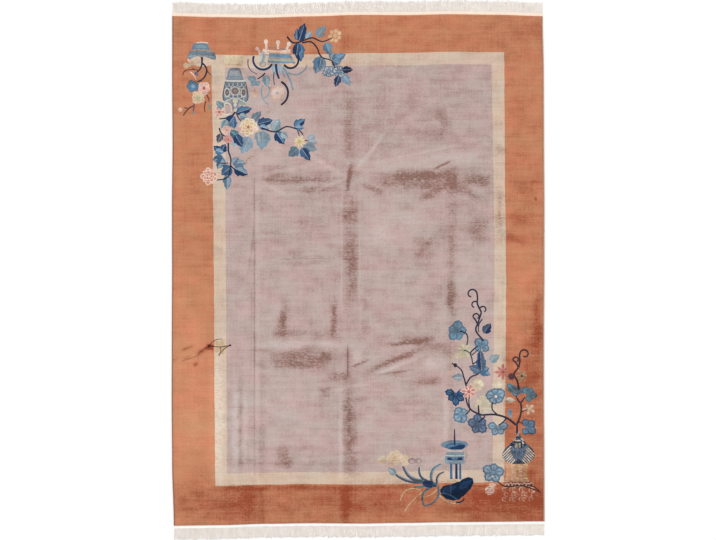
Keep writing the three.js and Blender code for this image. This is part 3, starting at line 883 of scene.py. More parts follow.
# A blue blossom and a peach, between the boughs and the stacked dishes. A brown twig runs from them
# towards the right edge of the rug.
fruit = Chart("pile_blossom_peach", 134.8 - 203.5j, UPRIGHT)
stem(fruit, "soil", 1.5, 1.1, 2 - 6j, 12 - 13.5j, 30 - 13j, 46 - 19j)
blossom(fruit, "slate+blue", "sky+mist", 0.5j, 11, 5, 80, 290)
blob(fruit, "pale", -0.5 - 3.5j, 1.0)
blob(fruit, "pale+blush", -3.5 - 17.5j, 5.0, 0.94)
leaf(fruit, "peach+blush", None, -4.5 - 13.5j, 3.5 - 12j, 4.6, 0)
blob(fruit, "rose+blush", -5 - 18.5j, 2.8, 0.8)


# The pile. Wool is knotted row by row on the warps and shorn to one height, so the whole design is
# one flush face. Here it is cut along every outline into triangles, each in its topmost shape's yarn.
FINE_STEP, COARSE_STEP = 0.009, 0.013
FINE_HALF_WIDTH, FINE_HALF_LENGTH = 1.06, 1.56  # band and field are cut finer than the border
ROW_RISE = 0.87  # rows this share of a step apart make even triangles
RIM_MARGIN = 0.018
RIM_INSETS = (0.0015, 0.004, PILE_ROUNDING)
CLEAR_OF_OUTLINE = 0.004
# How much darker the pile's upright side is at the floor: painted shade.
SIDE_PAINTED_SHADE = -0.25
# Uneven tones of field, border and band: soil, wear and dye lot, with painted shade and painted highlight
# along the creases and where the pile lies over. In squares from the middle: where, half length, half width,
# the turn in degrees, and how much darker (negative) or paler (positive) the wool is there.
FIELD_TONES = (
    (-103.9 - 60j, 152, 1.4, 90, -0.22), (-106.5 + 22j, 20, 0.8, 82, -0.4),
    (-100.5 - 60j, 150, 2.2, 90, 0.16),
    (-7 - 10j, 190, 7.5, 90, -0.12), (-7.7 + 53.5j, 22, 8.5, 90, -0.15), (-7.7 + 15.5j, 16, 8.5, 90, -0.4),
    (-7.7 + 54j, 6.5, 8.5, 90, -0.32), (-6 - 8j, 18, 5, 90, -0.28), (-9.2 + 90.4j, 13.8, 2.0, 81.6, -0.75),
    (-7 - 175j, 38, 6.5, 90, -0.3), (-9 + 145j, 36, 4.5, 90, -0.2), (-16.6 + 24j, 60, 0.9, 90, 0.3),
    (-17.5 - 168j, 42, 1.6, 90, 0.45), (1.4 + 20j, 70, 1.0, 90, 0.2), (93.3 + 5j, 72, 4.5, 90, -0.3),
    (94.3 + 89j, 11.5, 6.5, 90, -0.6), (92 - 29j, 12, 5, 90, -0.3), (88 - 150j, 26, 2.6, 90, 0.4),
    (93 - 130j, 50, 3, 90, -0.15), (56.8 + 89.5j, 32, 9, 0, -0.62), (66.8 + 94.5j, 26, 3.5, 0, -0.35),
    (117.8 + 89.5j, 15, 6, 0, -0.6), (75.3 + 76.5j, 14.3, 3.5, 29, -0.5), (84.6 + 104.6j, 9, 1.3, 25, -0.9),
    (13.8 + 80.5j, 11.7, 3, -24, -0.45), (41.8 + 106j, 46, 7.5, 0, 0.25), (60 + 116j, 44, 1.5, 12, 0.3),
    (12 + 118j, 22, 1.8, 52, 0.4), (-62 + 90j, 42, 3.8, 0, -0.5), (-38 + 108j, 34, 2.2, -30, 0.32),
    (-70 + 100j, 34, 2.0, 12, 0.26), (-82 + 80j, 16, 1.8, -30, 0.3), (-30 + 84j, 16, 1.6, 22, 0.3),
    (-58 + 74j, 40, 4, 0, -0.12), (120.8 + 41.5j, 11, 12, 0, -0.4), (140.8 + 40.5j, 13, 5, 90, -0.2),
    (112 + 76j, 16, 4, -25, -0.25), (60 + 62j, 40, 5, 0, -0.14), (-62 + 10j, 14, 6, 0, -0.18),
    (68.8 + 24.5j, 15, 3, 48, -0.3), (63.8 + 13.5j, 10, 11, 0, -0.22), (80 - 24j, 20, 7, 60, -0.22),
    (27.3 + 33.5j, 24.5, 13, 0, 0.2), (-74.7 - 54j, 15.5, 3.5, 90, -0.45), (-24.2 - 50j, 17.5, 3, 90, -0.6),
    (7 - 45j, 24, 3, 90, -0.16), (-53.7 - 64.5j, 32.5, 5, 0, -0.25), (-42.7 - 74.7j, 53.5, 3.2, 0, 0.32),
    (-56.7 - 89.8j, 29.5, 9.8, 0, -0.6), (-62.7 - 97j, 23.5, 3.5, 0, -0.2), (-32.2 - 87j, 5, 6.5, 0, -0.3),
    (-98.2 - 81j, 10, 2.5, 0, -0.35), (-98 - 96j, 8, 3, -10, -0.35), (-10.2 - 90.5j, 15, 1.4, 90, -0.5),
    (-19.2 - 107j, 10, 6.5, 0, -0.5), (37.3 - 90.2j, 28.8, 2.6, 23, -0.62),
    (51.3 - 73j, 20.8, 2.2, 8.5, -0.8),
    (1.8 - 94j, 9.7, 1.4, 21, -0.6), (33.3 - 103.5j, 20.7, 1.2, 8, -0.5), (-0.2 - 86.5j, 5, 5, 0, 0.6),
    (39 - 96.5j, 28, 1.8, 23, 0.45), (76.8 - 94j, 13, 5.5, 0, 0.5), (70.8 - 112.5j, 11, 5, 0, -0.35),
    (-32.2 - 122.5j, 5, 5, 0, -0.25), (-9.2 - 133.5j, 18, 4, 90, -0.3), (1.8 - 131.5j, 7, 4, 0, -0.3),
    (90 - 78j, 18, 5, 0, -0.28), (-10 - 118j, 34, 2, 12, 0.3), (-76 - 186j, 6, 9, 0, -0.4),
    (-60 - 193j, 60, 2.6, 0, -0.22), (-80 - 140j, 46, 34, 0, 0.2), (40 - 150j, 50, 26, 0, 0.14),
    (-123 - 158j, 44, 3.4, 90, 0.5), (-113 - 158j, 44, 2.2, 90, 0.34), (-118 - 158j, 44, 2.0, 90, -0.3),
    (-96 - 150j, 56, 4, 90, -0.2), (40 + 150j, 84, 50, 0, -0.13), (84 + 150j, 18, 6, 90, -0.26),
    (50 + 138j, 60, 3, -4, -0.12), (-90 - 60j, 30, 60, 0, 0.1), (60 - 20j, 40, 20, 0, 0.06),
    (96 + 112j, 24, 8, 0, 0.22), (128 - 120j, 26, 40, 0, -0.06), (70 - 90j, 30, 18, 0, -0.1),
    (-98 + 139j, 50, 40, 0, 0.22), (122 - 110j, 30, 50, 0, 0.22), (92 - 26j, 16, 3, 90, -0.2),
    (-77 + 98j, 20, 6, 0, -0.25), (-42 + 80j, 16, 4, 0, -0.4), (70 + 30j, 40, 12, 0, -0.12),
    (-60 + 40j, 30, 12, 20, -0.1), (41 + 48j, 34, 22, 0, 0.22), (116 - 2j, 24, 20, 90, 0.22),
    (-77 - 52j, 17, 4, 70, -0.4), (-31 - 123j, 9, 6, 0, -0.4), (-10 - 160j, 42, 5, 90, -0.2),
    (-68 - 193j, 7, 4, 50, -0.4), (57 - 71j, 16, 5, 0, -0.4), (52 - 136j, 32, 11, 0, -0.14),
    (112 + 74j, 12, 4, -40, -0.3),
)
BORDER_TONES = (
    (-170 + 60j, 90, 14, 90, 0.04), (-166 - 120j, 100, 20, 90, 0.62), (-166 - 180j, 40, 16, 90, 0.14),
    (-150 - 232j, 46, 18, 0, -0.5), (-60 - 234j, 90, 16, 0, -0.36), (40 - 234j, 80, 16, 0, -0.38),
    (160 - 232j, 60, 24, 0, -0.95), (168 - 150j, 70, 22, 90, -0.4), (176 - 70j, 50, 12, 90, -0.3),
    (150 + 236j, 60, 20, 0, -0.1), (0 + 236j, 120, 16, 0, 0.02), (166 + 40j, 30, 20, 90, -0.10),
    (168 + 81j, 10, 6, 0, -0.2), (166 + 50j, 18, 6, 0, -0.22), (158 + 31j, 11, 5, -15, -0.4),
    (179 - 52j, 36, 5, 90, -0.22), (177 + 70.5j, 1.2, 1.2, 0, -1.2), (-14.5 + 228j, 18, 4, 90, -0.22),
    (-13 - 236j, 30, 5, 90, -0.35), (-112 - 236j, 30, 8, 90, -0.25), (-96 - 236j, 22, 2, 90, -0.25),
    (-104 + 226j, 24, 3, 90, -0.14), (166 + 238j, 26, 9, 0, -0.1), (-180 - 30j, 200, 4, 90, 0.16),
    (-170 - 78j, 6, 1.6, 25, -0.8), (-156 - 82j, 7, 2.4, 35, -0.9), (-149 - 78j, 3.6, 3.0, 0, -1.2),
    (-163 - 95j, 3, 1.8, 40, -0.9), (-171 - 88j, 4, 1.4, 30, -0.7), (-140 - 74j, 9, 1.6, 25, -0.9),
    (-132 - 76j, 5, 2.4, 30, -1.0), (-141 - 83j, 4, 1.4, 0, -0.7), (-184 - 90j, 5, 1.2, 20, -0.5),
    (178 - 38j, 13, 4, 90, -0.2), (178 - 62j, 13, 5, 90, -0.18), (168 + 82j, 17, 12, 0, -0.12),
    (-162 - 200j, 24, 16, 90, -0.3), (166 - 2j, 38, 17, 90, 0.32),
    (162 - 57j, 30, 15, 90, 0.25),
)
BAND_TONES = (
    (142 + 120j, 5, 4, 0, -0.25), (142 + 64j, 19, 4, 90, -0.35), (-149 - 77j, 3, 3, 0, -0.4),
    (-142 - 150j, 64, 8, 90, 0.6), (70 - 216j, 60, 5, 0, -0.25), (150 - 120j, 60, 5, 90, -0.18),
    (-60 - 218.5j, 90, 2.6, 0, -0.45),
)
FIRM_GAIN = 1.3
BROAD = 14  # a tone wider than this is a soft cloud, and a narrower one has a firm edge
SLOW_STRAY, QUICK_STRAY = 2.8, 1.6  # how far at most a tone's edge strays, in squares
BORDER_FROM = 145 + 215j  # the border begins this far across and along, in squares from the middle


def drift(spots, scale_x, scale_y):
    """A smooth random step for every spot, about one square long at most."""
    return np.array([
        complex(noise.noise((x * scale_x, y * scale_y, 3.1)), noise.noise((x * scale_x, y * scale_y, 8.4)))
        for x, y in spots
    ])


def tones_at(spots):
    """How much darker or paler the wool is at each spot of the straight layout."""
    here = np.array([complex(*stretched(x, y)) for x, y in spots]) / SQUARE
    slow, quick = drift(spots, 14, 14), drift(spots, 55, 95)
    on_border = (abs(here.real) > BORDER_FROM.real) | (abs(here.imag) > BORDER_FROM.imag)
    total = np.zeros(len(spots))
    anywhere = np.ones(len(spots))
    for table, inside in ((FIELD_TONES, ~on_border), (BORDER_TONES, on_border), (BAND_TONES, anywhere)):
        for at, length, width, turn, strength in table:
            strayed = here + slow * min(0.5 * width, SLOW_STRAY) + quick * min(0.4 * width, QUICK_STRAY)
            off = (strayed - at) * cmath.rect(1, -math.radians(turn))
            broad = width > BROAD
            fade = np.abs(off.real / length) ** 4 + np.abs(off.imag / width) ** (2 if broad else 2.6)
            total += strength * (1.0 if broad else FIRM_GAIN) * np.exp(-fade) * inside
    return total


def cut_up(outlines, loose=()):
    """Cuts the plane along outlines: the points, the triangles and the outlines that cover each."""
    spots, faces = [], []
    for outline in outlines:
        faces.append(list(range(len(spots), len(spots) + len(outline))))
        spots += [(point.real, point.imag) for point in outline]
    spots += loose
    knots, _, triangles, _, _, covers = geometry.delaunay_2d_cdt(
        [Vector(spot) for spot in spots], [], faces, 1, 1e-6
    )
    return knots, triangles, covers


def found(rim, spots):
    """The number of the spot that lies at each point of a rim."""
    numbers = {(round(x, 5), round(y, 5)): i for i, (x, y) in enumerate(spots)}
    return [numbers[(round(point.real, 5), round(point.imag, 5))] for point in rim]


def cell(x, y):
    """The small square that a spot lies in."""
    return round(x / CLEAR_OF_OUTLINE), round(y / CLEAR_OF_OUTLINE)


crowded = {cell(point.real, point.imag) for _, _, outline in shapes for point in outline}


def is_clear(x, y):
    """Whether a spot is far enough from every outline to be a knot of its own."""
    column, row = cell(x, y)
    return all((column + i, row + j) not in crowded for i in (-1, 0, 1) for j in (-1, 0, 1))


loose = []
for inset in RIM_INSETS:
    wide, high = PILE_HALF_WIDTH - inset, HALF_LENGTH - inset
    rows, columns = round(2 * high / RIM_STEP), round(2 * wide / RIM_STEP)
    loose += [(side * wide, -high + 2 * high * i / rows) for side in (-1, 1) for i in range(rows + 1)]
    loose += [(-wide + 2 * wide * i / columns, side * high) for side in (-1, 1) for i in range(1, columns)]
for step, fine in ((FINE_STEP, True), (COARSE_STEP, False)):
    row_count = int((HALF_LENGTH - RIM_MARGIN) / (step * ROW_RISE))
    column_count = int((PILE_HALF_WIDTH - RIM_MARGIN) / step)
    for row in range(-row_count, row_count + 1):
        for column in range(-column_count, column_count + 1):
            x, y = (column + 0.5 * (row % 2)) * step, row * step * ROW_RISE
            within = abs(x) < FINE_HALF_WIDTH and abs(y) < FINE_HALF_LENGTH
            if within == fine and abs(x) < PILE_HALF_WIDTH - RIM_STEP and is_clear(x, y):
                loose.append((x, y))
knots, triangles, covers = cut_up([outline for _, _, outline in shapes], loose)
places = [laid(x, y) for x, y in knots]
heights = [pile_height(x, y) for x, y in knots]
tones = tones_at(knots)
cut = {}
for triangle, cover in zip(triangles, covers):
    if cover:
        piece, yarn, _ = shapes[max(cover)]
        cut.setdefault(piece, []).append((triangle, yarn))


class Value:
    """One socket of a material. Sums, products and the like of values add the Math nodes for them."""

    def __init__(self, material, socket):
        self.material, self.socket = material, socket

    def math(self, operation, *values):
        inputs = dict(enumerate(values))
        return self.material.node("ShaderNodeMath", {"operation": operation}, inputs)

    def __add__(self, other):
        return self.math("ADD", self, other)

    def __sub__(self, other):
        return self.math("SUBTRACT", self, other)

    def __mul__(self, other):
        return self.math("MULTIPLY", self, other)

    def __rsub__(self, other):
        return self.math("SUBTRACT", other, self)

    __radd__, __rmul__ = __add__, __mul__

    def clamped(self, low=0.0, high=1.0):
        return self.math("MINIMUM", self.math("MAXIMUM", self, low), high)


class Finish:
    """A material that is built up node by node on a Principled shader."""

    def __init__(self, name, roughness, sheen):
        self.material = bpy.data.materials.new(name)
        self.material.use_nodes = True
        self.tree = self.material.node_tree
        self.shader = self.tree.nodes["Principled BSDF"]
        self.shader.inputs["Roughness"].default_value = roughness
        self.shader.inputs["Sheen Weight"].default_value = sheen
        self.shader.inputs["Specular IOR Level"].default_value = 0.2

    def node(self, kind, settings=None, inputs=None, output=0):
        """A new node: its settings come first, then each socket's value or link."""
        node = self.tree.nodes.new(kind)
        for key, value in (settings or {}).items():
            setattr(node, key, value)
        for key, value in (inputs or {}).items():
            socket = node.inputs[key]
            if isinstance(value, Value):
                self.tree.links.new(value.socket, socket)
            else:
                socket.default_value = value
        return Value(self, node.outputs[output])

    def mixed(self, factor, one, other, blend="MIX"):
        """A colour between one and other, or a blend of them."""
        settings = {"data_type": "RGBA", "blend_type": blend}
        return self.node("ShaderNodeMix", settings, {0: factor, 6: one, 7: other}, 2)

    def place(self, *scale):
        """The place on the rug, scaled along each axis."""
        where = self.node("ShaderNodeTexCoord", output=3)
        return self.node("ShaderNodeVectorMath", {"operation": "MULTIPLY"}, {0: where, 1: scale})

    def cloudy(self, scale, detail=2.0):
        """Soft noise about 0, stretched by the scale of each axis."""
        inputs = {"Vector": self.place(*scale), "Scale": 1.0, "Detail": detail}
        return self.node("ShaderNodeTexNoise", {"noise_dimensions": "3D"}, inputs) - 0.5

    def feed(self, socket, value):
        self.tree.links.new(value.socket, self.shader.inputs[socket])

    def bump(self, height, distance, strength=1.0):
        inputs = {"Strength": strength, "Distance": distance, "Height": height}
        self.feed("Normal", self.node("ShaderNodeBump", inputs=inputs))


SOIL_AND_SHADE_DARK = (0.50, 0.36, 0.31, 1.0)  # what soil, and painted shade along the creases and where the pile lies over, multiply a yarn by
# what wear and painted highlight along the creases multiply a yarn by
WEAR_AND_HIGHLIGHT_PALE = (1.26, 1.38, 1.42, 1.0)
KNOT_PITCH = 0.0036
BACK_SHINE = 0.25
PLAIN = (1.0, 1.0, 1.0, 1.0)


def shorn_wool(name, cloud, weft, fleck, fray, warm=PLAIN, cool=PLAIN, soil_and_shade=SOIL_AND_SHADE_DARK, shine=BACK_SHINE):
    """Shorn wool in the knots' own yarns, uneven by dye lot, cloud, weft row and knot, and by a frayed tone
    of soil, wear, painted shade and painted highlight.
    """
    wool = Finish(name, 0.92, shine)
    yarn = wool.node("ShaderNodeAttribute", {"attribute_name": "yarn"})
    tone = wool.node("ShaderNodeAttribute", {"attribute_name": "tone"}, output=2)
    mottle = wool.cloudy((9, 12, 1), 5.0) * cloud * 1.2 + wool.cloudy((60, 100, 1), 2.0) * cloud * 0.6
    ragged = wool.cloudy((38, 90, 1), 4.0) * fray + 1.0
    wefts = wool.cloudy((5, 110, 1), 2.0) * weft * 0.6 + wool.cloudy((2.2, 34, 1), 2.0) * weft * 0.8
    warps = wool.cloudy((95, 3.5, 1), 2.0) * weft * 0.6
    by_knot = {"Vector": wool.place(1, 1, 0.2), "Scale": 1 / KNOT_PITCH, "Randomness": 0.7}
    knots = wool.node("ShaderNodeTexVoronoi", {"feature": "F1"}, by_knot, 1)
    one_knot = wool.node("ShaderNodeSeparateColor", inputs={0: knots}) - 0.5
    total = tone * ragged + mottle + wefts + warps + one_knot * fleck
    # Below zero the tone darkens the yarn with soil and painted shade; above zero it pales it with wear and
    # painted highlight.
    darker = (0 - total).clamped(0.0, 1.6)
    paler = total.clamped(0.0, 1.2)
    shade = wool.mixed(darker, PLAIN, soil_and_shade)
    light = wool.mixed(paler, PLAIN, WEAR_AND_HIGHLIGHT_PALE)
    lot = wool.cloudy((4, 6, 1), 3.0) * 2.6 + wool.cloudy((14, 50, 1), 3.0) * 0.9 + 0.5
    dyed_wool = wool.mixed(1.0, yarn, wool.mixed(lot.clamped(), warm, cool), "MULTIPLY")
    shaded_wool = wool.mixed(1.0, dyed_wool, shade, "MULTIPLY")
    wool.feed("Base Color", wool.mixed(1.0, shaded_wool, light, "MULTIPLY"))
    tufts = wool.node("ShaderNodeTexVoronoi", {"feature": "F1"}, by_knot)
    lie = wool.cloudy((40, 60, 1), 3.0)
    wool.feed("Roughness", 0.9 + wool.cloudy((70, 70, 1)) * 0.16)
    wool.bump((1 - tufts) * 0.6 + lie * 1.1, 0.0012, 0.6)
    return wool.material


def finished(name, mesh_points, mesh_faces, material, slot, *nodes):
    """A smooth piece that rides on the rug and stands for the CAD nodes named."""
    mesh = bpy.data.meshes.new(name)
    mesh.from_pydata(mesh_points, [], mesh_faces)
    mesh.validate()
    mesh.shade_smooth()
    mesh.materials.append(material)
    piece = bpy.data.objects.new(name, mesh)
    bpy.context.collection.objects.link(piece)
    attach(piece, "root")
    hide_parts(*nodes)
    return piece


def toned(piece, point_tones):
    """Gives a piece its tone at every point."""
    tone = piece.data.attributes.new("tone", "FLOAT", "POINT")
    tone.data.foreach_set("value", point_tones)


def tinted(piece, corner_yarns, point_tones):
    """Gives a piece its yarn at every corner of a face and its tone at every point."""
    colours = piece.data.color_attributes.new("yarn", "FLOAT_COLOR", "CORNER")
    colours.data.foreach_set("color", [c for yarn in corner_yarns for c in dyed(yarn)])
    toned(piece, point_tones)


ground_wool = {
    "pile_border": shorn_wool(
        "border_wool", cloud=1.1, weft=0.9, fleck=0.35, fray=1.4,
        warm=(1.07, 0.93, 0.94, 1), cool=(0.97, 1.03, 1.0, 1), soil_and_shade=(0.55, 0.26, 0.17, 1),
    ),
    "pile_band": shorn_wool(
        "band_wool", cloud=0.9, weft=0.7, fleck=0.25, fray=4.2,
        warm=(1.04, 0.98, 0.95, 1), cool=(0.97, 1.02, 1.03, 1),
    ),
    "pile_field": shorn_wool(
        "field_wool", cloud=1.1, weft=0.8, fleck=0.40, fray=3.0,
        warm=(1.05, 0.97, 0.98, 1), cool=(0.96, 1.01, 1.0, 1),
    ),
}
motif_wool = shorn_wool("motif_wool", cloud=2.2, weft=0.8, fleck=0.6, fray=4.2, shine=0.06)
for name, patches in cut.items():
    used = sorted({i for triangle, _ in patches for i in triangle})
    local = {i: k for k, i in enumerate(used)}
    mesh_points = [(*places[i], heights[i]) for i in used]
    mesh_faces = [[local[i] for i in triangle] for triangle, _ in patches]
    corner_yarns = [yarn for _, yarn in patches for _ in range(3)]
    point_tones = [tones[i] for i in used]
    if name == "pile_border":
        # The shorn side of the pile goes down to the floor all round, painted darker towards the floor as
        # painted shade.
        foot = len(mesh_points)
        for rim_point in pile_rim:
            mesh_points.append((*laid(rim_point.real, rim_point.imag), SEAM_GAP))
            point_tones.append(SIDE_PAINTED_SHADE)
        top = found(pile_rim, [knots[i] for i in used])
        for i in range(len(pile_rim)):
            after = (i + 1) % len(pile_rim)
            mesh_faces.append([top[i], foot + i, foot + after, top[after]])
            corner_yarns += ["terracotta"] * 4
    wool = ground_wool.get(name, motif_wool)
    piece = finished(name, mesh_points, mesh_faces, wool, "wool_pile", "pile_body")
    tinted(piece, corner_yarns, point_tones)


# The foundation: cotton warps and wefts that the knots are tied round. It is a flat slab under the
# pile, and its back shows the knots of the three grounds.
FOUNDATION_TOP = 0.0064
FOUNDATION_INSET = 0.0005
slab_rim = [
    complex(clamp(p.real, FOUNDATION_INSET - PILE_HALF_WIDTH, PILE_HALF_WIDTH - FOUNDATION_INSET),
            clamp(p.imag, FOUNDATION_INSET - HALF_LENGTH, HALF_LENGTH - FOUNDATION_INSET))
    for p in pile_rim[::3]
]
back_shapes = [("terracotta", slab_rim), ("cream", shapes[1][2]), ("rosegrey", shapes[2][2])]
back_knots, back_triangles, back_covers = cut_up([outline for _, outline in back_shapes])
slab_points = [(*laid(x, y), 0.0) for x, y in back_knots]
slab_faces = [list(reversed(triangle)) for triangle in back_triangles]
slab_yarns = [back_shapes[max(cover)][0] for cover in back_covers for _ in range(3)]
above = len(slab_points)
slab_points += [(*laid(p.real, p.imag), FOUNDATION_TOP) for p in slab_rim]
slab_points.append((*laid(0, 0), FOUNDATION_TOP))
below = found(slab_rim, back_knots)
for i in range(len(slab_rim)):
    after = (i + 1) % len(slab_rim)
    slab_faces.append([below[i], below[after], above + after, above + i])
    slab_faces.append([above + i, above + after, len(slab_points) - 1])
    slab_yarns += ["cotton"] * 7
knotted_back = shorn_wool("knotted_back", cloud=0.3, weft=0.5, fleck=0.3, fray=4.2)
foundation = finished("foundation", slab_points, slab_faces, knotted_back, "wool_pile", "pile_body")
tinted(foundation, slab_yarns, [0.0] * len(slab_points))


# The side cords: the outer warps of each long edge, wound with wool, brown at the left and paler at
# the right. Each turn of the winding stands up a little from the next.
WINDING_PITCH = 0.0056
WINDING_RELIEF = 0.0005
CORD_SIDES = 10
BANDS_PER_METRE = 3.18  # of a wave texture at scale 1


def wound_yarn(name, darker, paler):
    """Plied wool wound round the cord, with painted shade between its turns."""
    yarn = Finish(name, 0.9, 0.2)
    base = yarn.mixed(yarn.cloudy((3, 30, 1), 3.0) + 0.5, dyed(darker), dyed(paler))
    turns = yarn.node("ShaderNodeTexWave", {"bands_direction": "Y"},
                      {"Vector": yarn.place(1, 1, 1), "Scale": 1 / WINDING_PITCH / BANDS_PER_METRE,
                       "Distortion": 0.6})
    # Painted shade: the wool is darker brown between the turns of the winding.
    shade_between_turns = yarn.mixed((1 - turns) * 0.45, base, (0.12, 0.075, 0.05, 1))
    yarn.feed("Base Color", shade_between_turns)
    yarn.bump(turns + yarn.cloudy((900, 900, 900)) * 0.4, 0.0006)
    return yarn.material


for node, side, darker, paler in (
    ("side_cord_left", -1, "tan", "terracotta"),
    ("side_cord_right", 1, "peach", "blush"),
):
    name = node + "_winding"
    radius = CORD_DIAMETER / 2
    ring_count = round(PILE_LENGTH / WINDING_PITCH * 2)
    mesh_points, mesh_faces = [], []
    for i in range(ring_count + 1):
        way = i / ring_count
        x, y = laid(side * (HALF_WIDTH - radius), -HALF_LENGTH + PILE_LENGTH * way)
        reach = radius - (WINDING_RELIEF if i % 2 else 0.0)
        for k in range(CORD_SIDES):
            turn = (k + 0.5) / CORD_SIDES * math.tau
            slant = WINDING_PITCH * 0.3 * math.cos(turn) if 0 < i < ring_count else 0.0
            mesh_points.append((x + reach * math.cos(turn), y + slant, radius + reach * math.sin(turn)))
    for i in range(ring_count):
        for k in range(CORD_SIDES):
            a, b = i * CORD_SIDES + k, i * CORD_SIDES + (k + 1) % CORD_SIDES
            mesh_faces.append([a, a + CORD_SIDES, b + CORD_SIDES, b])
    last = ring_count * CORD_SIDES
    mesh_faces += [list(range(CORD_SIDES)), list(range(last + CORD_SIDES - 1, last - 1, -1))]
    cord_finish = wound_yarn(f"{name}_yarn", darker, paler)
    finished(name, mesh_points, mesh_faces, cord_finish, "side_cord", node)


# The webs and fringes. Beyond the pile each end is woven plain for 22 mm on the cotton warps, and
# the warps then hang free in 150 loose locks of five twisted yarns, flattened on the floor.
WEB_WIDTH = 0.022
FRINGE_LENGTH = 0.088
STRANDS_PER_END = 150
STRAND_LEAN = 0.0016
STRAND_SHORTFALL = 0.009
WEB_START = HALF_LENGTH + SEAM_GAP
WEB_END = HALF_LENGTH + WEB_WIDTH
WEFT_RIBS = 7
WEB_RIDGE, WEB_GROOVE, WEB_EDGE = 0.0028, 0.0021, 0.0024  # heights on the web
WEB_COLUMNS = 240
LEAST_HEIGHT = 0.0002
YARNS_PER_LOCK = 5
YARN_SPACING = 0.0034
YARN_HALF_WIDTH = 0.00165
YARN_SHORTFALL = 0.010
YARN_ROOT = 0.0006  # how far a yarn starts inside the web
YARN_STEPS = 9


def white_cotton(name, yarn, twist):
    """Undyed cotton, darker by its tone with a little soil and painted shade, ribbed by its wefts or twisted
    as yarn.
    """
    cotton = Finish(name, 0.95, 0.2)
    tone = cotton.node("ShaderNodeAttribute", {"attribute_name": "tone"}, output=2)
    # The tone darkens the cotton towards brown: random soil, and painted shade beside the pile and on each
    # yarn's sides.
    soil = (0 - (tone + cotton.cloudy((30, 22, 1), 4.0) * 0.6)).clamped()
    threads = cotton.cloudy((420, 40, 1) if twist else (700, 420, 1), 2.0)
    base = cotton.mixed((threads * 0.8 + 0.45).clamped(), dyed(yarn, 0.98), dyed(yarn, 0.84))
    cotton.feed("Base Color", cotton.mixed(soil, base, (0.66, 0.54, 0.48, 1)))
    ply = cotton.node("ShaderNodeTexWave", {"bands_direction": "DIAGONAL"},
                      {"Vector": cotton.place(1, 1, 0), "Scale": 210.0 if twist else 330.0,
                       "Distortion": 1.0})
    cotton.bump(ply * 0.5 + threads, 0.0006)
    return cotton.material


def repeatable(i, use):
    """A repeatable number from 0 to 1 for lock i, the same as the solid's."""
    wave = math.sin(i * 12.9898 + use * 78.233) * 43758.5453
    return wave - math.floor(wave)


